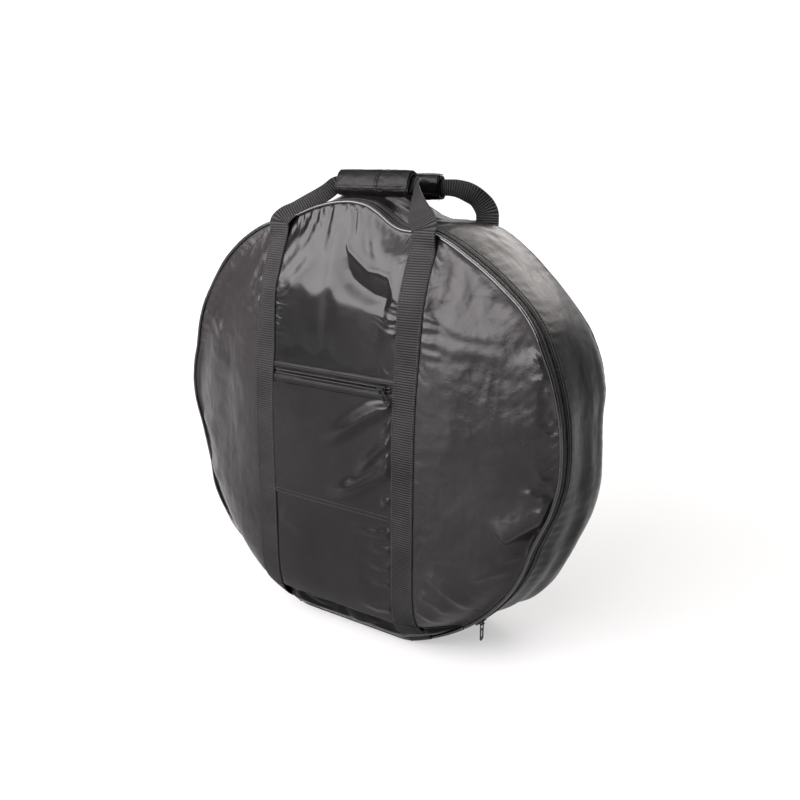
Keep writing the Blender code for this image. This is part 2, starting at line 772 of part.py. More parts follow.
for side_name, sx in (("left", -STRAP_X), ("right", STRAP_X)):
    strap_front("front_strap_" + side_name, sx)
    strap_under("under_strap_" + side_name, sx)
    strap_back("back_strap_" + side_name, sx)


# ----------------------------------------------------------------- handles
def spline(points, n):
    """Smooth curve through the points that ends running along X."""
    pts = [points[0] * 2 - points[1]] + points
    last = points[-2].copy()
    last.x = 2 * points[-1].x - points[-2].x
    pts.append(last)
    out = []
    for i in range(1, len(pts) - 2):
        p0, p1, p2, p3 = pts[i - 1:i + 3]
        for k in range(n):
            t = k / n
            out.append(0.5 * ((2 * p1) + (p2 - p0) * t + (2 * p0 - 5 * p1 + 4 * p2 - p3) * t * t
                              + (3 * p1 - p0 - 3 * p2 + p3) * t ** 3))
    out.append(points[-1])
    return out


def handle(name, leg, grip, tilt, parent):
    """Webbing from one strap, through the grip, to the other strap.
    It lies flat on the strap at its ends and stands on edge in the grip."""
    inside = GRIP_HALF + 0.0040
    right = spline([Vector(p) for p in leg] + [Vector((inside, *grip))], 3)
    left = [Vector((-p.x, p.y, p.z)) for p in right]
    path = left + [Vector((0.0, *grip))] + right[::-1]
    n = len(path)
    up = Vector((0, math.sin(math.radians(tilt)), math.cos(math.radians(tilt))))
    rows = []
    for i, p in enumerate(path):
        t = (path[min(i + 1, n - 1)] - path[max(i - 1, 0)]).normalized()
        if abs(p.x) <= inside + 1e-6:
            t = Vector((1, 0, 0))
        u = min(max((abs(p.x) - inside) / (STRAP_X - inside), 0.0), 1.0)
        s = u * u * (3 - 2 * u)
        sgn = 1.0 if p.x < 0 else -1.0
        w = Vector((-sgn, 0, 0)) * s + up * (1 - s)
        w = (w - t * w.dot(t)).normalized()
        nrm = t.cross(w).normalized()
        hw = 0.0100 + (HW - 0.0100) * s * s
        ht = STRAP_T / 2 + (0.0016 - STRAP_T / 2) * (1 - s)
        rows.append([world(*(p + w * a * hw + nrm * b * ht))
                     for a, b in ((-1, -1), (1, -1), (1, 1), (-1, 1))])
    return finish(name, sweep(rows), WEB_LOOK, parent)


def oval(t, k):
    """Point of the grip's flattened-roll section, k scales it outwards."""
    c, s = math.cos(t), math.sin(t)
    e = 2.0 / 2.8
    return ((GRIP_THICK + k) * math.copysign(abs(c) ** e, c),
            (GRIP_TALL + k) * math.copysign(abs(s) ** e, s))


def grip_point(x, u, v, grip, tilt):
    a = math.radians(tilt)
    y = u * math.cos(a) + v * math.sin(a)
    z = -u * math.sin(a) + v * math.cos(a)
    return world(x, grip[0] + y, grip[1] + z)


def grip_wrap(name, grip, tilt, parent):
    """Padded sleeve with a slot for the doubled webbing."""
    hu, hv = 0.0023, 0.0108
    corners = ((hu, -hv, -52.0), (hu, hv, 52.0), (-hu, hv, 128.0), (-hu, -hv, 232.0),
               (hu, -hv, 308.0))
    outer, inner = [], []
    for (u0, v0, a0), (u1, v1, a1), parts in zip(corners, corners[1:], (5, 3, 5, 3)):
        for k in range(parts):
            t = k / parts
            u, v = oval(math.radians(a0 + (a1 - a0) * t), 0.0)
            ui, vi = u0 + (u1 - u0) * t, v0 + (v1 - v0) * t
            outer.append([grip_point(x, u, v, grip, tilt) for x in (-GRIP_HALF, GRIP_HALF)])
            inner.append([grip_point(x, ui, vi, grip, tilt) for x in (-GRIP_HALF, GRIP_HALF)])
    finish(name, sheet(outer, inner, ring=True), CLOTH_LOOK, parent)


def grip_flap(name, grip, tilt, parent):
    """Overlapping flap of the wrap, closed over its front and top."""
    n = 9
    outer, inner = [], []
    half = GRIP_HALF - 0.0015
    for i in range(n + 1):
        t = math.radians(62 + (205 - 62) * i / n)
        uo, vo = oval(t, 0.0020)
        ui, vi = oval(t, 0.0006)
        outer.append([grip_point(x, uo, vo, grip, tilt) for x in (-half, half)])
        inner.append([grip_point(x, ui, vi, grip, tilt) for x in (-half, half)])
    finish(name, sheet(outer, inner), CLOTH_LOOK, parent)


FRONT_TILT = 22.0
BACK_TILT = -8.0
front_leg = [(STRAP_X, FRONT_LEG_Y, LEG_Z), (0.1320, -0.0872, 0.3400), (0.1275, -0.0775, 0.3650),
             (0.1130, -0.0600, 0.3775), (0.0900, -0.0345, 0.3725)]
back_leg = [(STRAP_X, BACK_LEG_Y, LEG_Z), (0.1310, 0.0850, 0.3360), (0.1200, 0.0785, 0.3550),
            (0.0980, 0.0680, 0.3610)]
handle("front_handle_webbing", front_leg, FRONT_GRIP, FRONT_TILT, front_pivot)
grip_wrap("front_grip_wrap", FRONT_GRIP, FRONT_TILT, front_pivot)
grip_flap("front_grip_flap", FRONT_GRIP, FRONT_TILT, front_pivot)
handle("back_handle_webbing", back_leg, BACK_GRIP, BACK_TILT, back_pivot)
grip_wrap("back_grip_wrap", BACK_GRIP, BACK_TILT, back_pivot)
grip_flap("back_grip_flap", BACK_GRIP, BACK_TILT, back_pivot)
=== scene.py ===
import math

import bmesh
import bpy
import numpy as np
from mathutils import Matrix, Vector


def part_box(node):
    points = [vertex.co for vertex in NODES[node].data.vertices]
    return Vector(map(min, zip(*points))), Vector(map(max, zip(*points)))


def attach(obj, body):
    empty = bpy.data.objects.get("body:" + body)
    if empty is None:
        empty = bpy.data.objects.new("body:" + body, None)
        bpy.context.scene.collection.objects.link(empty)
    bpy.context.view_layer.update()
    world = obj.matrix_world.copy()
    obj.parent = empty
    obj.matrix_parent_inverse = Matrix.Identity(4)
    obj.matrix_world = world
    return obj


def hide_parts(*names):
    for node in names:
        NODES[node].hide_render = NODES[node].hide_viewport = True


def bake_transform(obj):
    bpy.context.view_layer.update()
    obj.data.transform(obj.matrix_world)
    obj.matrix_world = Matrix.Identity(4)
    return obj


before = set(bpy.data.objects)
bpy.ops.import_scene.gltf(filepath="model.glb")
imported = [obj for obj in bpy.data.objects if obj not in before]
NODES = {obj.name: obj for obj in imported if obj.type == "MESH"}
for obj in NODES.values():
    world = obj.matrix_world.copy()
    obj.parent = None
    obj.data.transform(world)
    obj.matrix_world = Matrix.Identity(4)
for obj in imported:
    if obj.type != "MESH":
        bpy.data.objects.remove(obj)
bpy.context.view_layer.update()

# ------------------------------------------------------------- bag geometry
# Metres, world frame: floor at z 0, front faces -Y. These are the same
# sizes as in the part's source; the looks add folds, seams and slack.
BAG_R, ZC, CORNER_R = 0.350, 0.334, 0.060
YF, YB = -0.067, 0.093
BULGE_F, BULGE_B = 0.057, 0.030
SEAM_IN, PIPE_R = 0.0047, 0.0022
ZIP_Y, TAPE_FAR = YF + 0.018, YF + 0.034
STRAP_X, STRAP_W, STRAP_T = 0.1325, 0.039, 0.0016
FOLD_Z = 0.056
POCKET_Z, POCKET_SEAM, SLOT_H = 0.4211, 0.2268, 0.016
GRIP_HALF, GRIP_TALL, GRIP_THICK = 0.067, 0.0185, 0.0115
FRONT_GRIP, BACK_GRIP = (-0.0075, 0.7005), (0.0722, 0.6940)
CORNER_X = math.sqrt((BAG_R - CORNER_R) ** 2 - (ZC - CORNER_R) ** 2)
FLAT_A = math.atan2(-ZC, CORNER_X)
ROUND_A = math.atan2(-(ZC - CORNER_R), CORNER_X)
ROUND_X = CORNER_X * BAG_R / (BAG_R - CORNER_R)
PANEL_R = BAG_R - SEAM_IN
FOLD_A = -math.degrees(math.asin((ZC - FOLD_Z) / (BAG_R - PIPE_R)))


def _rim(deg):
    a = math.radians(deg)
    c, s = abs(math.cos(a)), math.sin(a)
    ang = math.atan2(s, c)
    if ang >= ROUND_A:
        return BAG_R
    if ang <= FLAT_A:
        return ZC / -s
    d = c * CORNER_X - s * (ZC - CORNER_R)
    return d + math.sqrt(max(d * d - (BAG_R - CORNER_R) ** 2 + CORNER_R ** 2, 0.0))


TAB_A = np.arange(-180.0, 180.01, 0.25)
TAB_R = np.array([_rim(a) for a in TAB_A])


def ring_table(pairs, soften=2.2):
    """Periodic table of radius changes (mm) by angle, softened."""
    a = np.array([p[0] for p in pairs], float)
    v = np.array([p[1] for p in pairs], float) * 0.001
    order = np.argsort(a)
    a, v = a[order], v[order]
    a = np.concatenate([a - 360, a, a + 360])
    v = np.tile(v, 3)
    raw = np.interp(np.arange(-360.0, 360.01, 0.25), a, v)
    k = np.arange(-40, 41) * 0.25
    w = np.exp(-(k / soften) ** 2)
    soft = np.convolve(raw, w / w.sum(), mode="same")
    return soft[720:720 + len(TAB_A)]


# how the slack seams leave the true circle, by angle from +X
D_FRONT = ring_table([
    (-180, 3), (-172, -8), (-167, -10), (-160, -6), (-154, 3), (-148, 5), (-141, 6.5),
    (-137, 2.5), (-134, 0), (-128, 0), (-120, 0), (-90, 0), (-60, 0), (-54, 0), (-48, 0), (-42, -1),
    (-35, -2), (-28, -6), (-22, -11), (-17, -9), (-11, -3), (-4, 2), (4, 3), (11, 4),
    (17, 4.5), (26, 6), (31, 8), (37, 5), (43, -1), (48, -5), (54, -9), (60, -11),
    (66, -14), (70, -24), (74, -30), (77.5, -27), (81, -17), (85, -8), (90, -5), (96, -6),
    (103, -9), (108, -12), (114, -7), (121, 1), (129, 6), (136, 8.5), (147, 9),
    (152, 9.5), (158, 7.5), (165, 2.5), (170, 5.5), (175, 6)], 1.8)
D_BACK = ring_table([
    (-180, 3), (-150, 4), (-128, 0), (-90, 0), (-66, 0), (-60, 2), (-53, 10), (-47, 21), (-42, 19),
    (-35, 10), (-27, 4), (-18, 3), (-10, 0), (-4, -6), (2, -9), (7, -8), (13, 1),
    (20, 5), (28, 4), (36, -2), (45, -7), (56, -6), (62, -6), (69, -17), (75, -29),
    (80, -28), (84, -19), (88, -12), (94, -8), (101, -7), (110, -6), (118, -2), (135, 3)], 1.8)


def look(table, deg):
    return np.interp((np.asarray(deg, float) + 180.0) % 360.0 - 180.0, TAB_A, table)


def rim(deg):
    return look(TAB_R, deg)


def rim_depth(x):
    ax = np.abs(np.asarray(x, float))
    flat = np.full_like(ax, ZC)
    turn = ZC - CORNER_R + np.sqrt(np.maximum(CORNER_R ** 2 - (ax - CORNER_X) ** 2, 0))
    wide = np.sqrt(np.maximum(BAG_R ** 2 - ax * ax, 1e-9))
    return np.where(ax <= CORNER_X, flat, np.where(ax <= ROUND_X, turn, wide))


def smooth(t):
    t = np.clip(t, 0.0, 1.0)
    return t * t * (3 - 2 * t)


# -------------------------------------------------------------- soft noise
def noise2(x, y, seed=0):
    """Smooth value noise, -1 to 1."""
    xi, yi = np.floor(x).astype(np.int64), np.floor(y).astype(np.int64)
    xf, yf = x - xi, y - yi

    def h(i, j):
        n = (i * 374761393 + j * 668265263 + seed * 144269504) & 0xffffffff
        n = ((n ^ (n >> 13)) * 1274126177) & 0xffffffff
        return ((n ^ (n >> 16)) & 0xffff) / 32767.5 - 1.0

    u = xf ** 3 * (xf * (xf * 6 - 15) + 10)
    v = yf ** 3 * (yf * (yf * 6 - 15) + 10)
    a = h(xi, yi) * (1 - u) + h(xi + 1, yi) * u
    b = h(xi, yi + 1) * (1 - u) + h(xi + 1, yi + 1) * u
    return a * (1 - v) + b * v


def fbm(x, y, seed=0, octaves=3):
    out, amp = 0.0, 1.0
    for k in range(octaves):
        out = out + amp * noise2(x * 2 ** k, y * 2 ** k, seed + 17 * k)
        amp *= 0.5
    return out / 1.75


def crinkle(x, y, seed=0):
    """Creased-film noise: sharp ridges between soft facets."""
    n = noise2(x + 0.6 * noise2(x * 0.7, y * 0.7, seed + 5), y, seed)
    m = noise2(x * 2.1 + 3.3, y * 2.1, seed + 9)
    return (1 - 2 * np.abs(n)) * 0.65 + (1 - 2 * np.abs(m)) * 0.35


# ------------------------------------------------------------ front surface
def bulge_shape(x, z, height):
    """Bulge at (x, z from the disc's centre)."""
    ax = np.abs(x)
    flat = 0.115
    rad = np.hypot(x, z) + 1e-9
    rho = rad / (rim(np.degrees(np.arctan2(z, ax))) - SEAM_IN)
    top = 1 - (z / np.sqrt(PANEL_R ** 2 - np.minimum(ax, PANEL_R * 0.9999) ** 2)) ** 2
    low = 1 - np.clip(-z / np.maximum(rim_depth(ax) - SEAM_IN, 0.02), 0, None) ** 12
    up = np.where(z >= 0, top, low)
    wide = np.maximum(np.sqrt(np.maximum(PANEL_R ** 2 - z * z, 0)), flat + 0.02)
    t = np.clip((ax - flat) / (wide - flat), 0, 1)
    side = 1 - t ** (2 + 2 * np.maximum(-z / ZC, 0))
    b = height * np.maximum(up, 0) * np.maximum(side, 0) * (1 - np.clip(rho, 0, 1) ** 40)
    return np.where(rho >= 1, 0.0, b)


def unslack(x, zb, table):
    """Undo the seam's slack: the same place on the true-circle panel."""
    rad = np.hypot(x, zb) + 1e-9
    th = np.degrees(np.arctan2(zb, x))
    d = look(table, th)
    e1 = rim(th) - SEAM_IN + d
    q = np.clip(rad / e1, 0, 1)
    r0 = rad - d * q ** 6
    k = r0 / rad
    return x * k, zb * k, e1 - rad, th


# line where the stuffed front turns from upright to sloping back
SHOULDER = np.array([(-0.16, 0.545), (-0.126, 0.543), (-0.100, 0.552), (-0.082, 0.549), (-0.064, 0.560),
                     (-0.047, 0.546), (-0.028, 0.545), (-0.012, 0.562), (0.006, 0.538), (0.047, 0.533),
                     (0.091, 0.543), (0.112, 0.548), (0.16, 0.545)])


SHOULDER_X = np.arange(-0.2, 0.2, 0.001)
SHOULDER_Z = np.interp(SHOULDER_X, SHOULDER[:, 0], SHOULDER[:, 1])
_k = np.exp(-(np.arange(-18, 19) / 7.0) ** 2)
SHOULDER_Z = np.convolve(np.pad(SHOULDER_Z, 18, mode="edge"), _k / _k.sum(), mode="valid")


def front_base(x, z):
    """Front without its folds: world y."""
    x, z = np.asarray(x, float), np.asarray(z, float)
    x0, z0, inset, th = unslack(x, z - ZC, D_FRONT)
    b = bulge_shape(x0, z0, BULGE_F)
    zs = np.interp(x, SHOULDER_X, SHOULDER_Z)
    u = z - zs
    tent = 0.0095 * (1 - np.sqrt((u / 0.085) ** 2 + 0.0035)) + 0.0006
    g = 1 - smooth((np.abs(x) - 0.130) / 0.05)
    edge = smooth((inset - 0.004) / 0.03)
    b = b + np.maximum(tent, 0) * g * edge
    return YF - b


def fold_at(x, z, path, h, up, down, f0=0.15, f1=0.35):
    """A ridge along a path: up and down are its widths above and below."""
    best = np.full(x.shape, 1e9)
    side = np.zeros(x.shape)
    along = np.zeros(x.shape)
    pts = np.array(path, float)
    seg = np.hypot(*(pts[1:] - pts[:-1]).T)
    start = np.concatenate([[0], np.cumsum(seg)])
    for k in range(len(pts) - 1):
        p, d = pts[k], pts[k + 1] - pts[k]
        t = np.clip(((x - p[0]) * d[0] + (z - p[1]) * d[1]) / (seg[k] ** 2), 0, 1)
        dx, dz = x - p[0] - t * d[0], z - p[1] - t * d[1]
        dist = np.hypot(dx, dz)
        n = np.array([-d[1], d[0]]) / seg[k]
        if n[1] < 0:
            n = -n
        near = dist < best
        best = np.where(near, dist, best)
        side = np.where(near, dx * n[0] + dz * n[1], side)
        along = np.where(near, (start[k] + t * seg[k]) / start[-1], along)
    amp = smooth(along / f0) if f0 > 0 else 1.0
    amp = amp * (smooth((1 - along) / f1) if f1 > 0 else 1.0)
    w = np.where(side > 0, up, down)
    return h * amp * np.exp(-(best / w) ** 2)


FOLDS = [
    # centre piece above the pocket
    ([(-0.078, 0.640), (-0.100, 0.608), (-0.126, 0.572)], 0.0020, 0.010, 0.010, 0.3, 0.1),
    ([(-0.058, 0.626), (-0.084, 0.592), (-0.120, 0.556)], 0.0022, 0.011, 0.010, 0.3, 0.1),
    ([(-0.036, 0.612), (-0.060, 0.584), (-0.098, 0.550)], 0.0018, 0.012, 0.011, 0.3, 0.2),
    ([(0.012, 0.668), (0.013, 0.645), (0.018, 0.622)], -0.0011, 0.0035, 0.0035, 0.1, 0.4),
    ([(0.032, 0.640), (0.038, 0.618), (0.048, 0.600)], -0.0010, 0.0040, 0.0040, 0.2, 0.3),
    ([(0.044, 0.634), (0.052, 0.612), (0.060, 0.598)], -0.0008, 0.0040, 0.0040, 0.2, 0.3),
    ([(0.080, 0.616), (0.084, 0.600), (0.088, 0.586)], 0.0006, 0.010, 0.008, 0.2, 0.3),
    ([(-0.132, 0.531), (-0.122, 0.533), (-0.112, 0.528)], 0.0026, 0.004, 0.003, 0.1, 0.5),
    ([(0.120, 0.519), (0.104, 0.521), (0.088, 0.522)], 0.0026, 0.004, 0.003, 0.1, 0.5),
    ([(0.120, 0.499), (0.106, 0.501), (0.092, 0.503)], 0.0022, 0.004, 0.003, 0.1, 0.5),
    # pocket face: slack cloth pulled towards the right strap
    ([(0.122, 0.410), (0.098, 0.392), (0.070, 0.376), (0.046, 0.360), (0.010, 0.336), (-0.026, 0.316)],
     0.0078, 0.014, 0.009, 0.02, 0.5),
    ([(0.122, 0.386), (0.106, 0.366), (0.096, 0.346)], 0.0035, 0.006, 0.005, 0.05, 0.5),
    ([(0.122, 0.352), (0.098, 0.334), (0.078, 0.314), (0.058, 0.292), (0.040, 0.274)],
     0.0060, 0.009, 0.006, 0.02, 0.5),
    ([(0.122, 0.336), (0.100, 0.316), (0.084, 0.306)], 0.0032, 0.006, 0.005, 0.05, 0.5),
    ([(0.122, 0.312), (0.092, 0.290), (0.056, 0.268), (0.020, 0.250), (-0.016, 0.238)],
     0.0080, 0.013, 0.008, 0.02, 0.4),
    ([(0.120, 0.262), (0.104, 0.252), (0.094, 0.244)], 0.0035, 0.005, 0.005, 0.05, 0.4),
    ([(-0.10, 0.36), (-0.04, 0.33), (0.0, 0.29)], 0.0022, 0.03, 0.03, 0.4, 0.4),
    # below the pocket
    ([(0.122, 0.206), (0.088, 0.198), (0.050, 0.196), (0.015, 0.200)], 0.0034, 0.007, 0.006, 0.02, 0.6),
    ([(0.122, 0.180), (0.092, 0.173), (0.060, 0.172)], 0.0034, 0.007, 0.006, 0.02, 0.6),
    ([(0.122, 0.152), (0.092, 0.146), (0.055, 0.148)], 0.0034, 0.007, 0.006, 0.02, 0.6),
    ([(0.122, 0.124), (0.090, 0.120), (0.060, 0.122)], 0.0028, 0.007, 0.006, 0.02, 0.6),
    ([(0.122, 0.082), (0.085, 0.074), (0.040, 0.076)], 0.0038, 0.009, 0.006, 0.05, 0.6),
    ([(-0.112, 0.190), (-0.070, 0.172), (-0.030, 0.160)], 0.0020, 0.014, 0.012, 0.2, 0.6),
    # right panel
    ([(0.351, 0.270), (0.327, 0.256), (0.303, 0.239), (0.278, 0.219)], 0.0135, 0.024, 0.0060, 0.02, 0.16),
    ([(0.336, 0.250), (0.310, 0.226), (0.290, 0.205)], -0.0050, 0.009, 0.016, 0.1, 0.3),
    ([(0.323, 0.276), (0.332, 0.273), (0.346, 0.270)], 0.0024, 0.004, 0.0035, 0.4, 0.05),
    ([(0.300, 0.304), (0.318, 0.296), (0.342, 0.282)], 0.0046, 0.008, 0.006, 0.4, 0.05),
    ([(0.318, 0.328), (0.332, 0.318), (0.348, 0.308)], 0.0034, 0.006, 0.005, 0.4, 0.05),
    ([(0.303, 0.490), (0.311, 0.484), (0.318, 0.476)], 0.0030, 0.0036, 0.0036, 0.3, 0.3),
    ([(0.311, 0.476), (0.318, 0.471), (0.327, 0.468)], 0.0030, 0.0036, 0.0034, 0.3, 0.3),
    ([(0.304, 0.450), (0.316, 0.457), (0.330, 0.466)], 0.0036, 0.0040, 0.0036, 0.35, 0.2),
    ([(0.317, 0.460), (0.324, 0.455), (0.331, 0.449)], 0.0028, 0.0034, 0.0034, 0.3, 0.2),
    ([(0.322, 0.436), (0.330, 0.440), (0.340, 0.446)], 0.0026, 0.0036, 0.0036, 0.3, 0.2),
    ([(0.326, 0.406), (0.335, 0.407), (0.346, 0.409)], 0.0030, 0.0034, 0.0034, 0.3, 0.2),
    ([(0.334, 0.397), (0.341, 0.397), (0.348, 0.398)], 0.0022, 0.0030, 0.0030, 0.3, 0.2),
    ([(0.324, 0.385), (0.336, 0.381), (0.350, 0.379)], 0.0034, 0.0034, 0.0032, 0.3, 0.1),
    ([(0.306, 0.500), (0.312, 0.455), (0.316, 0.410), (0.318, 0.370)], 0.0052, 0.013, 0.034, 0.2, 0.2),
    ([(0.306, 0.200), (0.290, 0.196), (0.272, 0.190)], 0.0040, 0.006, 0.005, 0.3, 0.3),
    ([(0.290, 0.176), (0.262, 0.168), (0.236, 0.156)], 0.0036, 0.010, 0.006, 0.2, 0.3),
    ([(0.168, 0.158), (0.196, 0.142), (0.220, 0.120), (0.238, 0.094)], 0.0034, 0.010, 0.006, 0.2, 0.2),
    ([(0.160, 0.122), (0.190, 0.108), (0.210, 0.086)], 0.0030, 0.009, 0.006, 0.2, 0.3),
    ([(0.152, 0.096), (0.174, 0.078), (0.190, 0.066)], 0.0028, 0.007, 0.005, 0.2, 0.3),
    ([(0.153, 0.528), (0.162, 0.527), (0.176, 0.520)], 0.0022, 0.0036, 0.0034, 0.05, 0.5),
    ([(0.153, 0.514), (0.164, 0.513), (0.180, 0.511)], 0.0026, 0.0036, 0.0034, 0.05, 0.5),
    ([(0.153, 0.496), (0.164, 0.494), (0.178, 0.492)], 0.0026, 0.0036, 0.0034, 0.05, 0.5),
    ([(0.153, 0.480), (0.168, 0.477), (0.190, 0.474)], 0.0024, 0.0040, 0.0036, 0.05, 0.5),
    ([(0.156, 0.530), (0.196, 0.512), (0.244, 0.506), (0.286, 0.500)], 0.0012, 0.011, 0.009, 0.15, 0.3),
    ([(0.156, 0.498), (0.200, 0.486), (0.256, 0.482), (0.292, 0.474)], 0.0014, 0.010, 0.009, 0.1, 0.3),
    ([(0.158, 0.462), (0.196, 0.452), (0.232, 0.452)], 0.0010, 0.011, 0.009, 0.1, 0.4),
    ([(0.166, 0.618), (0.172, 0.580), (0.176, 0.540)], 0.0016, 0.009, 0.009, 0.3, 0.4),
    ([(0.190, 0.604), (0.200, 0.570), (0.206, 0.535)], 0.0016, 0.010, 0.010, 0.3, 0.4),
    # left panel
    ([(-0.160, 0.604), (-0.178, 0.566), (-0.192, 0.520)], 0.0024, 0.012, 0.010, 0.2, 0.4),
    ([(-0.152, 0.560), (-0.170, 0.540), (-0.184, 0.532)], 0.0026, 0.006, 0.005, 0.05, 0.4),
    ([(-0.152, 0.528), (-0.172, 0.514), (-0.188, 0.508)], 0.0026, 0.006, 0.005, 0.05, 0.4),
    ([(-0.290, 0.486), (-0.270, 0.470), (-0.256, 0.448)], 0.0030, 0.010, 0.008, 0.1, 0.4),
    ([(-0.334, 0.30), (-0.300, 0.285), (-0.262, 0.27)], 0.0030, 0.014, 0.012, 0.1, 0.5),
    ([(-0.322, 0.22), (-0.296, 0.206), (-0.262, 0.200)], 0.0045, 0.012, 0.010, 0.1, 0.5),
    ([(-0.236, 0.56), (-0.238, 0.42), (-0.230, 0.28), (-0.206, 0.16)], -0.0035, 0.03, 0.03, 0.3, 0.3),
]


# upper cloth hanging over the lower one above the pocket: its lip, and the
# line where the hollow under the lip ends
LIP = np.array([(0.004, 0.621), (0.010, 0.610), (0.033, 0.595), (0.053, 0.5830), (0.071, 0.5812),
                (0.0888, 0.5765), (0.1064, 0.5502), (0.130, 0.5448)])
HOLLOW = np.array([(0.004, 0.619), (0.0104, 0.600), (0.0155, 0.583), (0.0256, 0.570), (0.0433, 0.561),
                   (0.0686, 0.551), (0.0888, 0.548), (0.1064, 0.5455), (0.130, 0.5445)])


def nearest(x, z, line):
    """Distance to a line and the x of its nearest point."""
    best, xn = np.full(x.shape, 1e9), np.zeros(x.shape)
    for p, q in zip(line[:-1], line[1:]):
        d = q - p
        t = np.clip(((x - p[0]) * d[0] + (z - p[1]) * d[1]) / (d @ d), 0, 1)
        dist = np.hypot(x - p[0] - t * d[0], z - p[1] - t * d[1])
        near = dist < best
        best, xn = np.where(near, dist, best), np.where(near, p[0] + t * d[0], xn)
    return best, xn


def lapped(x, z):
    """How far the cloth drops back under that lip."""
    zu, zl = np.interp(x, LIP[:, 0], LIP[:, 1]), np.interp(x, HOLLOW[:, 0], HOLLOW[:, 1])
    away, xn = nearest(x, z, HOLLOW)

    def depth(v):
        span = np.interp(v, LIP[:, 0], LIP[:, 1]) - np.interp(v, HOLLOW[:, 0], HOLLOW[:, 1])
        return 0.30 * np.maximum(span, 0) * (1 - smooth((v - 0.090) / 0.021))

    t = np.clip((zu - z) / np.maximum(zu - zl, 1e-4), 0, 1)
    outer = depth(xn) * (1 - 0.62 * smooth(away / 0.026) - 0.38 * smooth(away / 0.11))
    inner = depth(x) * t
    above = (z > zu) & (x > LIP[0, 0])
    lip = 0.0007 * np.exp(-((z - zu - 0.002) / 0.0045) ** 2) * smooth(depth(x) / 0.004)
    return np.where(above, 0.0, np.where((z > zl) & (x > LIP[0, 0]), inner, outer)) - lip


def front_folds(x, z):
    """Height of all folds and puckers over the smooth front."""
    x, z = np.asarray(x, float), np.asarray(z, float)
    zb = z - ZC
    rad = np.hypot(x, zb) + 1e-9
    th = np.degrees(np.arctan2(zb, x))
    inset = rim(th) - SEAM_IN + look(D_FRONT, th) - rad
    h = np.zeros(x.shape)
    for path, height, up, down, f0, f1 in FOLDS:
        h = h + fold_at(x, z, path, height, up, down, f0, f1)
    # gathers fan down from the top seam
    phi = np.arctan2(x + 0.03, 0.80 - z)
    fan = np.sin(phi * 40 + 1.2 * noise2(phi * 9, z * 9, 3)) * 0.65 + np.sin(phi * 67 + 1.0) * 0.35
    reach = smooth((z - 0.565) / 0.085) * (1 - smooth((np.abs(x) - 0.105) / 0.02))
    h = h + 0.0009 * fan * reach * (0.7 + 0.6 * noise2(x * 26, z * 12, 6))
    h = h - lapped(x, z) * (1 - smooth((np.abs(x) - 0.110) / 0.003))
    # puckers where the cloth is eased into the rim seam
    s = np.radians(th) * 0.345
    strong = 0.35 + 1.6 * np.exp(-((th - 17) / 11.0) ** 2) + 0.9 * np.exp(-((th + 2) / 10.0) ** 2) \
        + 0.8 * np.exp(-((th - 156) / 12.0) ** 2) + 0.6 * np.exp(-((th + 150) / 14.0) ** 2) \
        + 0.3 * np.exp(-((th - 75) / 9.0) ** 2)
    wave = np.sin((s + 0.45 * inset) / 0.0155 * 2 * np.pi + 2.4 * noise2(s * 22, inset * 18, 11))
    wave = wave * (0.65 + 0.5 * noise2(s * 30, inset * 12, 12))
    fine = np.sin((s - 0.3 * inset) / 0.0085 * 2 * np.pi + 2.0 * noise2(s * 40, inset * 30, 21))
    h = h + 0.00145 * strong * wave * np.exp(-np.clip(inset, 0, 1) / 0.017) \
        + 0.00035 * fine * np.exp(-np.clip(inset, 0, 1) / 0.012)
    # short creases along the straps' stitching
    for cx in (-STRAP_X, STRAP_X):
        d = np.abs(np.abs(x - cx) - STRAP_W / 2)
        outside = np.where(np.abs(x) > STRAP_X, 1.0, 0.55)
        amp = 0.0011 + 0.0016 * np.exp(-((z - 0.235) / 0.06) ** 2) + 0.0010 * np.exp(-((z - 0.49) / 0.05) ** 2)
        if cx < 0:
            amp = 0.0007 + 0.0012 * np.exp(-((z - 0.52) / 0.06) ** 2)
        c = crinkle((x + 0.3 * z) * 42, z * 92 + 2.5 * noise2(x * 30, z * 20, 7), 31 if cx > 0 else 37)
        h = h + amp * outside * c * np.exp(-d / 0.017)
    # broad slackness and fine crumpling of the coated cloth
    side = smooth((np.abs(x) - 0.14) / 0.06)
    h = h + 0.0018 * fbm(x * 11, z * 9, 41, 2) * (0.5 + 0.7 * side)
    h = h + 0.00080 * fbm(x * 34, z * 30, 51, 3) * (0.35 + side)
    h = h + 0.00060 * crinkle(x * 36 + 1.5, z * 42, 61) * (0.02 + side)
    # flat under the webbing, and held by the seams
    under = smooth((np.abs(np.abs(x) - STRAP_X) - 0.0165) / 0.008)
    h = h * under
    h = h * smooth((inset + 0.0005) / 0.006)
    zip_flat = smooth((np.abs(z - POCKET_Z) - SLOT_H + 0.001) / 0.012)
    inside = 1 - smooth((np.abs(x) - STRAP_X) / 0.004)
    h = h * (1 - inside * (1 - zip_flat))
    return h * smooth((z - FOLD_Z + 0.001) / 0.012)


def front_surface(x, z):
    return front_base(x, z) - front_folds(x, z)


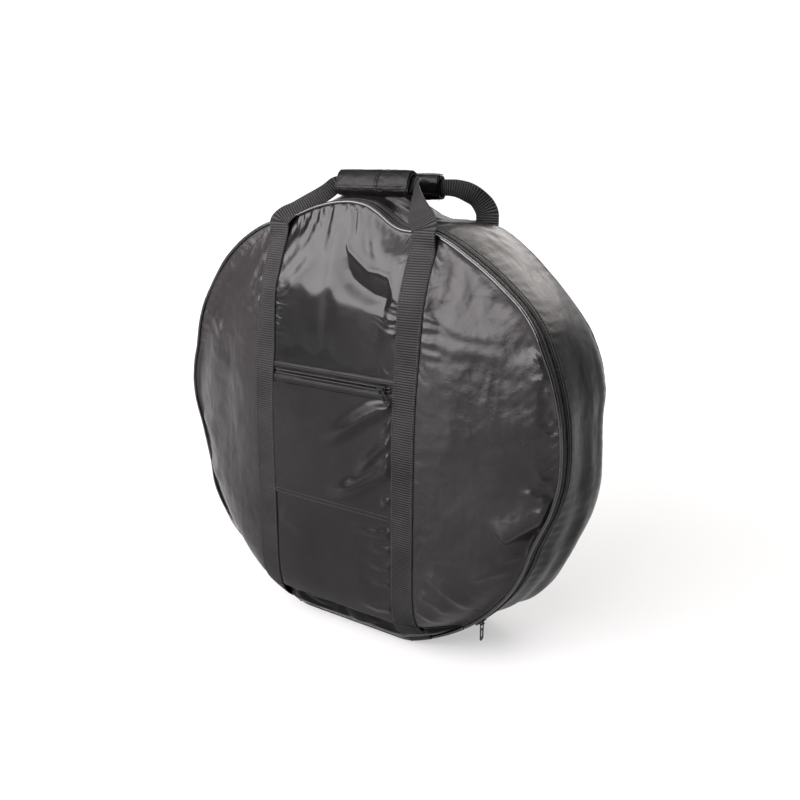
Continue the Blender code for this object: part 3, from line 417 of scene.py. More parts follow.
BACK_FOLDS = [
    ([(-0.300, 0.500), (-0.235, 0.455), (-0.165, 0.425)], 0.0040, 0.015, 0.010, 0.2, 0.3),
    ([(0.318, 0.470), (0.262, 0.436), (0.196, 0.410)], 0.0045, 0.016, 0.010, 0.2, 0.3),
    ([(0.300, 0.215), (0.240, 0.180), (0.178, 0.166)], 0.0040, 0.014, 0.009, 0.2, 0.3),
    ([(-0.090, 0.640), (-0.062, 0.560), (-0.048, 0.470)], 0.0034, 0.013, 0.012, 0.2, 0.3),
    ([(0.080, 0.630), (0.058, 0.570), (0.020, 0.500)], 0.0030, 0.013, 0.012, 0.2, 0.3),
    ([(-0.100, 0.180), (-0.040, 0.205), (0.050, 0.190)], 0.0030, 0.018, 0.012, 0.3, 0.3),
]


def back_surface(x, z):
    x, z = np.asarray(x, float), np.asarray(z, float)
    x0, z0, inset, th = unslack(x, z - ZC, D_BACK)
    b = bulge_shape(x0, z0, BULGE_B)
    s = np.radians(th) * 0.345
    under = smooth((np.abs(np.abs(x) - STRAP_X) - 0.0165) / 0.008)
    h = 0.0016 * fbm(x * 10, z * 9, 71, 2) + 0.0007 * fbm(x * 30, z * 26, 73, 3) \
        + 0.0008 * crinkle(x * 30, z * 34, 75)
    for path, height, up, down, f0, f1 in BACK_FOLDS:
        h = h + fold_at(x, z, path, height, up, down, f0, f1)
    for cx in (-STRAP_X, STRAP_X):
        d = np.abs(np.abs(x - cx) - STRAP_W / 2)
        h = h + 0.0012 * crinkle((x - 0.25 * z) * 40, z * 88, 79) * np.exp(-d / 0.016)
    h = h + 0.0012 * np.sin(s / 0.016 * 6.283 + 2.2 * noise2(s * 22, inset * 16, 77)) \
        * np.exp(-np.clip(inset, 0, 1) / 0.022)
    h = h * under * smooth(inset / 0.006) * smooth((z - 0.03) / 0.03)
    return YB + b + h


def between(deg, y):
    """Slack radius change at depth y between the two rims."""
    w = smooth((y - YF - 0.006) / (YB - YF - 0.012))
    return look(D_FRONT, deg) * (1 - w) + look(D_BACK, deg) * w


def ring_xyz(deg, r, y):
    a = np.radians(deg)
    return np.stack([r * np.cos(a), np.broadcast_to(y, np.shape(r)) + 0 * r, ZC + r * np.sin(a)], -1)


# ------------------------------------------------------------ mesh building
def grid_normals(P, wrap=False):
    if wrap:
        du = np.roll(P, -1, 0) - np.roll(P, 1, 0)
    else:
        du = np.gradient(P, axis=0)
    dv = np.gradient(P, axis=1)
    n = np.cross(du, dv)
    return n / np.maximum(np.linalg.norm(n, axis=-1, keepdims=True), 1e-12)


def add_mesh(name, verts, faces, uv=None, sharp=40.0):
    mesh = bpy.data.meshes.new(name)
    mesh.from_pydata([tuple(v) for v in verts], [], [tuple(f) for f in faces])
    mesh.update()
    if uv is not None:
        layer = mesh.uv_layers.new(name="UV")
        idx = np.zeros(len(mesh.loops), np.int32)
        mesh.loops.foreach_get("vertex_index", idx)
        layer.data.foreach_set("uv", uv[idx].astype(np.float32).ravel())
    mesh.shade_smooth()
    if sharp:
        mesh.set_sharp_from_angle(angle=math.radians(sharp))
    ob = bpy.data.objects.new(name, mesh)
    bpy.context.scene.collection.objects.link(ob)
    return ob


def shell(name, P, thick, ref, uv=None, wrap=False, sharp=55.0, N=None):
    """Closed thin sheet below the outer grid P."""
    P = np.asarray(P, float)
    n, m = P.shape[:2]
    if N is None:
        N = grid_normals(P, wrap)
    flip = float((N * np.asarray(ref, float)).sum()) < 0
    if flip:
        N = -N
    Q = P - N * thick
    verts = np.concatenate([P.reshape(-1, 3), Q.reshape(-1, 3)])
    i = np.arange(n if wrap else n - 1)[:, None]
    j = np.arange(m - 1)[None, :]
    i2 = (i + 1) % n
    a, b, c, d = i * m + j, i2 * m + j, i2 * m + j + 1, i * m + j + 1
    top = np.stack([x.ravel() for x in np.broadcast_arrays(a, b, c, d)], -1)
    bot = top[:, ::-1] + n * m
    rims = []
    k = np.arange(n if wrap else n - 1)
    k2 = (k + 1) % n
    for col, rev in ((0, False), (m - 1, True)):
        q = np.stack([k * m + col, k * m + col + n * m, k2 * m + col + n * m, k2 * m + col], -1)
        rims.append(q[:, ::-1] if rev else q)
    if not wrap:
        k = np.arange(m - 1)
        for row, rev in ((0, True), (n - 1, False)):
            q = np.stack([row * m + k, row * m + k + n * m, row * m + k + 1 + n * m, row * m + k + 1], -1)
            rims.append(q[:, ::-1] if rev else q)
    faces = np.concatenate([top, bot] + rims)
    if flip:
        faces = faces[:, ::-1]
    uvs = None
    if uv is not None:
        uv = np.asarray(uv, float).reshape(-1, 2)
        uvs = np.concatenate([uv, uv])
    return add_mesh(name, verts, faces.tolist(), uvs, sharp)


def tube(name, path, radii, frames, sides=10, closed=False, uv_scale=1.0, sharp=None):
    """Tube along a path; frames gives two cross axes, radii their sizes."""
    path = np.asarray(path, float)
    n = len(path)
    A, B = frames
    ra, rb = radii
    ang = 2 * np.pi * np.arange(sides) / sides
    V = path[:, None, :] + (np.cos(ang)[None, :, None] * (A * np.reshape(ra, (-1, 1)))[:, None, :]
                            + np.sin(ang)[None, :, None] * (B * np.reshape(rb, (-1, 1)))[:, None, :])
    verts = V.reshape(-1, 3)
    faces = []
    for i in range(n if closed else n - 1):
        i2 = (i + 1) % n
        for j in range(sides):
            j2 = (j + 1) % sides
            faces.append((i * sides + j, i2 * sides + j, i2 * sides + j2, i * sides + j2))
    if not closed:
        faces.append(tuple(range(sides)))
        faces.append(tuple((n - 1) * sides + j for j in reversed(range(sides))))
    c = np.cross(A[0], B[0])
    t = path[1] - path[0]
    if np.dot(c, t) > 0:
        faces = [tuple(reversed(f)) for f in faces]
    s = np.concatenate([[0], np.cumsum(np.linalg.norm(path[1:] - path[:-1], axis=1))])
    uv = np.stack([np.repeat(s, sides), np.tile(ang / (2 * np.pi) * 0.012, n)], -1) * uv_scale
    return add_mesh(name, verts, faces, uv, sharp)


def stitches(name, P, N, step=0.0042, length=0.0026, w=0.00045, h=0.00035, skip=0):
    """A row of thread stitches along the points P lying on normals N."""
    P, N = np.asarray(P, float), np.asarray(N, float)
    s = np.concatenate([[0], np.cumsum(np.linalg.norm(P[1:] - P[:-1], axis=1))])
    count = int(s[-1] / step)
    verts, faces = [], []
    for k in range(skip, count):
        mid = (k + 0.5) * step
        p = np.array([np.interp(mid, s, P[:, c]) for c in range(3)])
        q = np.array([np.interp(min(mid + 0.001, s[-1]), s, P[:, c]) for c in range(3)])
        n = np.array([np.interp(mid, s, N[:, c]) for c in range(3)])
        t = q - p
        if np.linalg.norm(t) < 1e-9:
            continue
        t = t / np.linalg.norm(t)
        n = n - t * np.dot(n, t)
        n = n / max(np.linalg.norm(n), 1e-9)
        b = np.cross(t, n)
        base = len(verts)
        for u, lift in ((-0.5, -0.25), (-0.28, 1.0), (0.28, 1.0), (0.5, -0.25)):
            for v in (-1, 1):
                verts.append(p + t * u * length + b * v * w + n * h * lift)
                verts.append(p + t * u * length + b * v * w * 0.8 - n * h * 0.4)
        for a in range(3):
            o = base + a * 4
            faces += [(o, o + 4, o + 6, o + 2), (o + 1, o + 3, o + 7, o + 5),
                      (o, o + 1, o + 5, o + 4), (o + 2, o + 6, o + 7, o + 3)]
        faces += [(base, base + 2, base + 3, base + 1), (base + 12, base + 13, base + 15, base + 14)]
    return add_mesh(name, verts, faces, None, None)


def joined(name, obs):
    """One object made of several, with no material of its own."""
    verts, faces, base = [], [], 0
    for o in obs:
        verts += [tuple(v.co) for v in o.data.vertices]
        faces += [tuple(base + i for i in p.vertices) for p in o.data.polygons]
        base = len(verts)
        bpy.data.objects.remove(o, do_unlink=True)
    return add_mesh(name, verts, faces, None, None)


# ---------------------------------------------------------------- materials
def new_material(name):
    mat = bpy.data.materials.new(name)
    mat.use_nodes = True
    nt = mat.node_tree
    nt.nodes.clear()
    out = nt.nodes.new("ShaderNodeOutputMaterial")
    bsdf = nt.nodes.new("ShaderNodeBsdfPrincipled")
    nt.links.new(bsdf.outputs[0], out.inputs[0])
    return mat, nt, bsdf


def node(nt, kind, **inputs):
    nd = nt.nodes.new(kind)
    for k, v in inputs.items():
        key = k.replace("_", " ")
        if key in nd.inputs:
            nd.inputs[key].default_value = v
    return nd


def maths(nt, op, a, b=None):
    nd = nt.nodes.new("ShaderNodeMath")
    nd.operation = op
    for i, v in enumerate((a, b)):
        if v is None:
            continue
        if isinstance(v, (int, float)):
            nd.inputs[i].default_value = v
        else:
            nt.links.new(v, nd.inputs[i])
    return nd.outputs[0]


def ramp(nt, fac, stops):
    nd = nt.nodes.new("ShaderNodeValToRGB")
    el = nd.color_ramp.elements
    while len(el) < len(stops):
        el.new(0.5)
    for e, (pos, col) in zip(el, stops):
        e.position = pos
        e.color = col if len(col) == 4 else (*col, 1)
    nt.links.new(fac, nd.inputs[0])
    return nd.outputs[0]


def grey(v, warm=0.0):
    return (v * (1 + warm), v, v * (1 + 0.2 * warm), 1)


def bump(nt, height, strength, distance, below=None):
    nd = nt.nodes.new("ShaderNodeBump")
    nd.inputs["Strength"].default_value = strength
    nd.inputs["Distance"].default_value = distance
    nt.links.new(height, nd.inputs["Height"])
    if below is not None:
        nt.links.new(below, nd.inputs["Normal"])
    return nd.outputs[0]


def cloth(name, lo, hi, rough, spec=0.5, warm=0.03, coat=0.0, micro=0.5, sheen=0.15):
    """Coated woven cloth: fine weave, crumple, dusty colour drift."""
    mat, nt, b = new_material(name)
    tc = nt.nodes.new("ShaderNodeTexCoord")
    big = node(nt, "ShaderNodeTexNoise", Scale=7.0, Detail=4.0, Roughness=0.55)
    nt.links.new(tc.outputs["Object"], big.inputs["Vector"])
    col = ramp(nt, big.outputs["Fac"], [(0.30, grey(lo, warm)), (0.70, grey(hi, warm * 1.4))])
    fleck = node(nt, "ShaderNodeTexNoise", Scale=900.0, Detail=2.0, Roughness=0.6)
    nt.links.new(tc.outputs["Object"], fleck.inputs["Vector"])
    mix = nt.nodes.new("ShaderNodeMix")
    mix.data_type = "RGBA"
    mix.blend_type = "MULTIPLY"
    mix.inputs["Factor"].default_value = 0.35
    nt.links.new(col, mix.inputs["A"])
    nt.links.new(ramp(nt, fleck.outputs["Fac"], [(0.3, grey(0.55)), (0.7, grey(1.25))]), mix.inputs["B"])
    nt.links.new(mix.outputs["Result"], b.inputs["Base Color"])
    r = ramp(nt, big.outputs["Fac"], [(0.25, grey(rough - 0.035)), (0.75, grey(rough + 0.045))])
    nt.links.new(r, b.inputs["Roughness"])
    # weave
    sep = nt.nodes.new("ShaderNodeSeparateXYZ")
    nt.links.new(tc.outputs["UV"], sep.inputs[0])
    wx = maths(nt, "SINE", maths(nt, "MULTIPLY", sep.outputs[0], 2 * math.pi / 0.0009))
    wy = maths(nt, "SINE", maths(nt, "MULTIPLY", sep.outputs[1], 2 * math.pi / 0.0009))
    weave = maths(nt, "MULTIPLY", wx, wy)
    n1 = bump(nt, weave, 0.10, 0.00012)
    crum = node(nt, "ShaderNodeTexNoise", Scale=85.0, Detail=5.0, Roughness=0.62)
    nt.links.new(tc.outputs["Object"], crum.inputs["Vector"])
    n2 = bump(nt, crum.outputs["Fac"], 0.28 * micro, 0.0016, n1)
    mid = node(nt, "ShaderNodeTexVoronoi", Scale=26.0)
    mid.feature = "SMOOTH_F1"
    nt.links.new(tc.outputs["Object"], mid.inputs["Vector"])
    n3 = bump(nt, mid.outputs["Distance"], 0.10 * micro, 0.004, n2)
    nt.links.new(n3, b.inputs["Normal"])
    b.inputs["Specular IOR Level"].default_value = spec
    b.inputs["IOR"].default_value = 1.5
    b.inputs["Sheen Weight"].default_value = sheen
    b.inputs["Sheen Roughness"].default_value = 0.4
    b.inputs["Coat Weight"].default_value = coat
    b.inputs["Coat Roughness"].default_value = 0.22
    return mat


def webbing(name, lo, hi, rough=0.58, pitch=0.0036, deep=0.6):
    """Ribbed polypropylene webbing: ribs across V, yarns along U."""
    mat, nt, b = new_material(name)
    tc = nt.nodes.new("ShaderNodeTexCoord")
    sep = nt.nodes.new("ShaderNodeSeparateXYZ")
    nt.links.new(tc.outputs["UV"], sep.inputs[0])
    rib = maths(nt, "SINE", maths(nt, "MULTIPLY", sep.outputs[1], 2 * math.pi / pitch))
    yarn = maths(nt, "SINE", maths(nt, "MULTIPLY", sep.outputs[0], 2 * math.pi / 0.0016))
    both = maths(nt, "ADD", maths(nt, "MULTIPLY", rib, 0.8), maths(nt, "MULTIPLY", yarn, 0.35))
    dirt = node(nt, "ShaderNodeTexNoise", Scale=22.0, Detail=4.0, Roughness=0.6)
    nt.links.new(tc.outputs["Object"], dirt.inputs["Vector"])
    # painted shade and light: rib and yarn grooves darker, crests lighter in the colour, over random dirt noise
    rib_shade_and_dirt = maths(nt, "ADD", maths(nt, "MULTIPLY", both, 0.68), dirt.outputs["Fac"])
    col = ramp(nt, rib_shade_and_dirt, [(0.22, grey(lo)), (0.80, grey(hi, 0.01))])
    nt.links.new(col, b.inputs["Base Color"])
    fuzz = node(nt, "ShaderNodeTexNoise", Scale=1400.0, Detail=2.0)
    nt.links.new(tc.outputs["Object"], fuzz.inputs["Vector"])
    n1 = bump(nt, both, deep, 0.0005)
    n2 = bump(nt, fuzz.outputs["Fac"], 0.25, 0.0003, n1)
    nt.links.new(n2, b.inputs["Normal"])
    b.inputs["Roughness"].default_value = rough
    b.inputs["Specular IOR Level"].default_value = 0.10
    b.inputs["Sheen Weight"].default_value = 0.01
    b.inputs["Sheen Roughness"].default_value = 0.45
    return mat


def tape_material(name, lo, hi):
    mat, nt, b = new_material(name)
    tc = nt.nodes.new("ShaderNodeTexCoord")
    sep = nt.nodes.new("ShaderNodeSeparateXYZ")
    nt.links.new(tc.outputs["UV"], sep.inputs[0])
    zig = maths(nt, "SINE", maths(nt, "MULTIPLY",
                                  maths(nt, "ADD", sep.outputs[0], maths(nt, "ABSOLUTE", maths(nt, "SUBTRACT", maths(
                                      nt, "FRACT", maths(nt, "MULTIPLY", sep.outputs[1], 1 / 0.0028)), 0.5))), 900.0))
    dirt = node(nt, "ShaderNodeTexNoise", Scale=30.0, Detail=4.0)
    nt.links.new(tc.outputs["Object"], dirt.inputs["Vector"])
    nt.links.new(ramp(nt, dirt.outputs["Fac"], [(0.3, grey(lo)), (0.7, grey(hi, 0.01))]), b.inputs["Base Color"])
    nt.links.new(bump(nt, zig, 0.25, 0.00025), b.inputs["Normal"])
    b.inputs["Roughness"].default_value = 0.52
    b.inputs["Specular IOR Level"].default_value = 0.13
    b.inputs["Sheen Weight"].default_value = 0.01
    b.inputs["Sheen Roughness"].default_value = 0.4
    return mat


def smooth_material(name, lo, hi, rough, spec=0.5, coat=0.0, metal=0.0, wear=False, scale=60.0):
    """Plastic, cord or lacquered metal with light wear on its edges."""
    mat, nt, b = new_material(name)
    tc = nt.nodes.new("ShaderNodeTexCoord")
    n = node(nt, "ShaderNodeTexNoise", Scale=scale, Detail=4.0)
    nt.links.new(tc.outputs["Object"], n.inputs["Vector"])
    col = ramp(nt, n.outputs["Fac"], [(0.3, grey(lo)), (0.7, grey(hi))])
    if wear:
        geo = nt.nodes.new("ShaderNodeNewGeometry")
        edge = ramp(nt, geo.outputs["Pointiness"], [(0.52, grey(0.0)), (0.60, grey(1.0))])
        worn = maths(nt, "MULTIPLY", edge, n.outputs["Fac"])
        mix = nt.nodes.new("ShaderNodeMix")
        mix.data_type = "RGBA"
        nt.links.new(worn, mix.inputs["Factor"])
        nt.links.new(col, mix.inputs["A"])
        mix.inputs["B"].default_value = grey(0.012)
        col = mix.outputs["Result"]
    nt.links.new(col, b.inputs["Base Color"])
    nt.links.new(ramp(nt, n.outputs["Fac"], [(0.3, grey(rough - 0.04)), (0.7, grey(rough + 0.05))]),
                 b.inputs["Roughness"])
    nt.links.new(bump(nt, n.outputs["Fac"], 0.12, 0.0003), b.inputs["Normal"])
    b.inputs["Metallic"].default_value = metal
    b.inputs["Specular IOR Level"].default_value = spec
    b.inputs["Coat Weight"].default_value = coat
    b.inputs["Coat Roughness"].default_value = 0.15
    return mat


SATIN = cloth("panel_satin", 0.0055, 0.0120, 0.30, 0.18, 0.09, 0.0, 1.3, 0.01)
GLOSSY = cloth("pocket_satin", 0.0036, 0.0068, 0.24, 0.14, 0.09, 0.0, 0.40, 0.0)
TOPCLOTH = cloth("top_satin", 0.0020, 0.0042, 0.23, 0.17, 0.05, 0.0, 0.32, 0.0)
BANDCLOTH = cloth("side_satin", 0.0012, 0.0042, 0.31, 0.088, 0.16, 0.0, 1.0, 0.01)
LININGCLOTH = cloth("lining_cloth", 0.009, 0.016, 0.50, 0.20, 0.04, 0.0, 0.4, 0.05)
GRIPCLOTH = cloth("grip_satin", 0.001, 0.003, 0.30, 0.075, 0.04, 0.0, 1.0, 0.02)
# darker copy of the panel satin for the strip under the bag: painted shade
UNDERCLOTH_PAINTED_SHADE = cloth("under_satin_painted_shade", 0.0010, 0.0025, 0.27, 0.055, 0.05, 0.0, 0.5, 0.0)
HEMCLOTH = cloth("hem_satin", 0.003, 0.006, 0.40, 0.12, 0.05, 0.0, 0.4, 0.0)
WEB = webbing("ribbed_webbing", 0.0002, 0.0205)
TAPE = tape_material("zip_tape_cloth", 0.004, 0.010)
PIPE = smooth_material("piping_cord", 0.0012, 0.0030, 0.17, 0.48, 0.12)
COIL = smooth_material("zip_coil_nylon", 0.001, 0.003, 0.30, 0.18, 0.03)
METAL = smooth_material("lacquered_metal", 0.002, 0.004, 0.30, 0.14, 0.03, 0.0, True)
THREAD = smooth_material("sewing_thread", 0.010, 0.020, 0.50, 0.25)


def put(ob, mat, body, *nodes, slot=None):
    """Material, the body it rides on (lid_bend pieces are baked in place and ride on no body), nodes."""
    ob.data.materials.clear()
    ob.data.materials.append(mat)
    if body == "lid_bend":
        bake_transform(ob)
    else:
        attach(ob, body)
    if nodes:
        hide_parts(*nodes)
    return ob


CLOTH_T = 0.0012


def edge_in(deg):
    return rim(deg) - SEAM_IN + look(D_FRONT, deg)


# angle at which the front's edge meets the strap's centre line, and the fold
def find_angle(test, a0, a1):
    for _ in range(60):
        mid = (a0 + a1) / 2
        if test(mid):
            a0 = mid
        else:
            a1 = mid
    return (a0 + a1) / 2


TOP_R = find_angle(lambda a: edge_in(a) * math.cos(math.radians(a)) > STRAP_X, 30, 90)
TOP_L = find_angle(lambda a: -edge_in(a) * math.cos(math.radians(a)) > STRAP_X, 150, 90)
LOW_R = find_angle(lambda a: ZC + edge_in(a) * math.sin(math.radians(a)) > FOLD_Z + 0.0004, -30, -80)
LOW_L = find_angle(lambda a: ZC + edge_in(a) * math.sin(math.radians(a)) > FOLD_Z + 0.0004, -150, -100)


def side_panel(name, sx, nt, ns, *nodes):
    """Outer piece of the front between a strap and the rim."""
    if sx > 0:
        ang = np.linspace(LOW_R, TOP_R, nt)
    else:
        ang = np.linspace(360 + LOW_L, TOP_L, nt)
    bx = edge_in(ang) * np.cos(np.radians(ang))
    bz = ZC + edge_in(ang) * np.sin(np.radians(ang))
    t = (bz - bz[0]) / (bz[-1] - bz[0])
    az = FOLD_Z + 0.0004 + (bz[-1] - FOLD_Z - 0.0004) * t
    s = np.linspace(0, 1, ns)
    s = s + 0.035 * np.sin(2 * np.pi * s)
    X = sx * (STRAP_X + 0.0002) * (1 - s)[None, :] + bx[:, None] * s[None, :]
    Z = az[:, None] * (1 - s)[None, :] + bz[:, None] * s[None, :]
    Y = front_surface(X, Z)
    P = np.stack([X, Y, Z], -1)
    ob = shell(name, P, CLOTH_T, (0, -1, 0), np.stack([X, Z], -1))
    put(ob, SATIN, "lid_bend", *nodes, slot="panel_cloth")
    return P, ob


P_right, right_ob = side_panel("front_cloth_right", 1, 190, 110, "front_panel_right")
P_left, left_ob = side_panel("front_cloth_left", -1, 150, 84, "front_panel_left")

# centre piece above the pocket
nx, nz = 160, 150
xs = np.linspace(-STRAP_X + 0.0002, STRAP_X - 0.0002, nx)
tb = POCKET_Z + SLOT_H + 0.0002


def top_edge_z(x):
    out = np.zeros_like(x)
    for i, v in enumerate(x):
        a = find_angle(lambda q: edge_in(q) * math.cos(math.radians(q)) > v, 20, 160)
        out[i] = ZC + edge_in(a) * math.sin(math.radians(a))
    return out


zt = top_edge_z(xs)
t = np.linspace(0, 1, nz)
X = np.broadcast_to(xs[:, None], (nx, nz))
Z = tb * (1 - t)[None, :] + zt[:, None] * t[None, :]
P_top = np.stack([X, front_surface(X, Z), Z], -1)
ob = put(shell("front_cloth_top", P_top, CLOTH_T, (0, -1, 0), np.stack([X, Z], -1)), TOPCLOTH, "lid",
         "front_panel_top", slot="panel_cloth")

# pocket face and the piece below it, one cloth with a raised double seam
nz = 170
zt0 = POCKET_Z - SLOT_H - 0.0002
Z = np.broadcast_to(np.linspace(FOLD_Z + 0.0004, zt0, nz)[None, :], (nx, nz))
X = np.broadcast_to(xs[:, None], (nx, nz))
Y = front_surface(X, Z)
hem = smooth((Z - POCKET_SEAM + 0.0045) / 0.0012) * (1 - smooth((Z - POCKET_SEAM - 0.0045) / 0.0012))
step = smooth((Z - POCKET_SEAM + 0.0045) / 0.0012)
groove = np.exp(-((np.abs(Z - POCKET_SEAM) - 0.0028) / 0.0007) ** 2)
Y = Y - 0.0011 * step - 0.0006 * hem + 0.0006 * groove
P_pock = np.stack([X, Y, Z], -1)
ob = put(shell("pocket_cloth_face", P_pock, CLOTH_T, (0, -1, 0), np.stack([X, Z], -1)), GLOSSY, "lid_bend",
         "pocket_front_panel", slot="pocket_cloth")

# lining behind the pocket, slack between its sewn edges
POUCH_X = STRAP_X - STRAP_W / 2 - 0.0032
POUCH_LOW, POUCH_TOP = POCKET_SEAM + 0.0006, POCKET_Z + 0.0215
U, V = np.meshgrid(np.linspace(-1, 1, 110), np.linspace(0, 1, 100), indexing="ij")
X, Z = U * POUCH_X, POUCH_LOW + (POUCH_TOP - POUCH_LOW) * V
slack = smooth((1 - np.abs(U)) / 0.22) * smooth(V / 0.16) * smooth((1 - V) / 0.14)
Y = front_base(X, Z) + 0.0031 + slack * (0.0046 + 0.0018 * fbm(X * 20, Z * 20, 131, 3)
                                         + 0.0012 * crinkle(X * 24, Z * 28, 133))
P_pouch = np.stack([X, Y, Z], -1)
ob = put(shell("pocket_lining", P_pouch, 0.0010, (0, 1, 0), np.stack([X, Z], -1)), LININGCLOTH, "lid",
         "pocket_pouch", slot="lining")

# strip that turns under the bag, set back below the crease; its cloth is a darker copy of the satin, painted shade
nx2, nz2 = 190, 46
xe = edge_in(LOW_R) * math.cos(math.radians(LOW_R)) - 0.0006
u = np.linspace(-1, 1, nx2)
xs2 = xe * np.sin(u * np.pi / 2)


def low_edge_z(x):
    out = np.zeros_like(x)
    for i, v in enumerate(x):
        a = find_angle(lambda q: edge_in(q) * math.cos(math.radians(q)) < v, -170, -10)
        out[i] = ZC + edge_in(a) * math.sin(math.radians(a))
    return out


zb = low_edge_z(xs2)
t = np.linspace(0, 1, nz2)
t = t + 0.06 * np.sin(2 * np.pi * t)
X = np.broadcast_to(xs2[:, None], (nx2, nz2))
Z = zb[:, None] * (1 - t)[None, :] + (FOLD_Z - 0.0004) * t[None, :]
crest = front_base(X, np.full_like(Z, FOLD_Z + 0.0006))
g = np.interp(t, [0, 0.06, 0.18, 0.40, 0.62, 0.78, 0.86, 0.93, 0.975, 1.0],
              [0, 0.12, 0.34, 0.56, 0.62, 0.66, 0.76, 0.92, 0.985, 1.0])
kern = np.array([1, 2, 3, 2, 1]) / 9.0
g = np.convolve(np.pad(g, 2, mode="edge"), kern, mode="valid")
g[0], g[-1] = 0.0, 1.0
wr = 0.0030 * np.sin(X / 0.031 + 3.5 * noise2(X * 16, Z * 22, 91)) * np.sin(np.pi * t)[None, :] ** 0.8
wr = wr + 0.0016 * fbm(X * 30, Z * 60, 93, 2) * np.sin(np.pi * t)[None, :]
flat = smooth((np.abs(np.abs(X) - STRAP_X) - 0.0165) / 0.010)
Y = YF + (crest - YF) * g[None, :] - np.abs(wr) * flat
P_low = np.stack([X, Y, Z], -1)
ob = put(shell("front_cloth_lower", P_low, CLOTH_T, (0, -1, -0.2), np.stack([X, Z], -1)), UNDERCLOTH_PAINTED_SHADE, "bag_body",
         "front_panel_lower", slot="panel_cloth")

# side band
na, nv = 420, 46
ang = np.linspace(-90, 270, na, endpoint=False)
y0, y1 = TAPE_FAR + 0.0001, YB - 0.0006
v = np.linspace(0, 1, nv)
A, V = np.meshgrid(ang, v, indexing="ij")
YY = y0 + (y1 - y0) * V
up = smooth((np.sin(np.radians(A)) + 0.80) / 0.35)
R = rim(A) + between(A, YY) + 0.006 * 4 * V * (1 - V) * up
S = np.radians(A) * 0.35
AA = (A + 180) % 360 - 180
mid = np.sin(np.pi * V)
# a long hollow down the right side and a valley across the top
hollow = np.exp(-((AA - 4) / 24.0) ** 2)
R = R - hollow * 0.0075 * np.exp(-((V - 0.30) / 0.22) ** 2) + hollow * 0.0045 * np.exp(-((V - 0.84) / 0.12) ** 2)
R = R + 0.0024 * np.exp(-((AA + 30) / 22.0) ** 2) * np.sin(V * 13 + AA * 0.05) * mid
R = R + up * mid * (0.0022 * fbm(S * 10, YY * 16, 101, 2) + 0.0010 * fbm(S * 34, YY * 34, 103, 3)
                    + 0.0007 * crinkle(S * 30, YY * 34, 105))
ease = np.exp(-V / 0.16) + np.exp(-(1 - V) / 0.13)
R = R + up * 0.0010 * ease * np.sin(S / 0.0165 * 6.283 + 2.4 * noise2(S * 20, YY * 20, 107)) * smooth(V / 0.05) \
    * smooth((1 - V) / 0.05)
tops = np.exp(-((AA - 86) / 17.0) ** 2)
R = R + 0.0040 * np.exp(-((AA - 93) / 11.0) ** 2) * mid + 0.0085 * np.exp(-((AA - 98) / 9.0) ** 2) * mid
R = R + tops * mid * 0.0032 * np.sin(YY * 150 + AA * 0.35) * (0.4 + noise2(S * 14, YY * 14, 109))
R = R - 0.0042 * smooth((YY - YB + 0.0034) / 0.0028)
R = np.minimum(R, np.where(np.sin(np.radians(A)) < -0.5, (ZC - 0.0004) / np.maximum(-np.sin(np.radians(A)), 0.01), 9))
P_band = ring_xyz(A, R, YY)
ref = np.stack([np.cos(np.radians(A)), 0 * A, np.sin(np.radians(A))], -1)
ob = put(shell("side_cloth_band", P_band, CLOTH_T, ref, np.stack([S, YY], -1), wrap=True), BANDCLOTH, "bag_body",
         "side_band", slot="panel_cloth")

# back panel as a polar grid
nr = 74
rho = np.linspace(0.0, 1, nr)
rho = np.maximum(rho ** 0.8, 0.004)
AB, RB = np.meshgrid(ang[::2], rho, indexing="ij")
eb = rim(AB) - SEAM_IN + look(D_BACK, AB)
XB, ZB = RB * eb * np.cos(np.radians(AB)), ZC + RB * eb * np.sin(np.radians(AB))
P_back = np.stack([XB, back_surface(XB, ZB), ZB], -1)
ob = shell("back_cloth", P_back, CLOTH_T, (0, 1, 0), np.stack([XB, ZB], -1), wrap=True)
# close the small hole at the pole with a fan on both faces
mesh = ob.data
bm = bmesh.new()
bm.from_mesh(mesh)
bm.verts.ensure_lookup_table()
count, m2 = len(ang[::2]), nr
inner_ring = [i * m2 for i in range(count)]
rim_faces = [f for f in bm.faces if len({v.index for v in f.verts} & (set(inner_ring) | {i + count * m2 for i in inner_ring})) == 4]
bmesh.ops.delete(bm, geom=rim_faces, context="FACES_ONLY")
bm.verts.ensure_lookup_table()
for base in (0, count * m2):
    ring = [bm.verts[i + base] for i in inner_ring]
    f = bm.faces.new(ring if base else ring)
bmesh.ops.recalc_face_normals(bm, faces=bm.faces)
bm.to_mesh(mesh)
bm.free()
mesh.update()
put(ob, SATIN, "bag_body", "back_panel", slot="panel_cloth")


# ------------------------------------------------------------------ piping
def wobble(deg, seed):
    return 0.0012 * noise2(np.asarray(deg) * 0.11, 0 * np.asarray(deg), seed)


def piping(name, a0, a1, y, table, body, n, closed, *nodes):
    a = np.linspace(a0, a1, n, endpoint=not closed)
    r = rim(a) + look(table, a) - PIPE_R
    yy = y + wobble(a, 3 if y < 0 else 5) * smooth((np.sin(np.radians(a)) + 0.7) / 0.2)
    path = ring_xyz(a, r, yy)
    tan = np.gradient(path, axis=0)
    tan = tan / np.linalg.norm(tan, axis=1, keepdims=True)
    B = np.tile(np.array([0.0, 1.0, 0.0]), (n, 1))
    N = np.cross(tan, B)
    B = np.cross(N, tan)
    rad = PIPE_R * (1.22 + 0.05 * noise2(a * 0.9, 0 * a, 13))
    ob = tube(name, path, (rad, rad), (N, B), 12, closed)
    put(ob, PIPE, body, *nodes, slot="piping")
    return path


piping("front_piping_cord", FOLD_A + 0.2, 180 - FOLD_A - 0.2, YF, D_FRONT, "lid_bend", 700, False, "front_piping")
piping("front_piping_cord_lower", -180 - FOLD_A + 0.35, FOLD_A - 0.35, YF, D_FRONT, "bag_body", 200, False,
       "front_piping_lower")
piping("back_piping_cord", -90, 270, YB, D_BACK, "bag_body", 800, True, "back_piping")


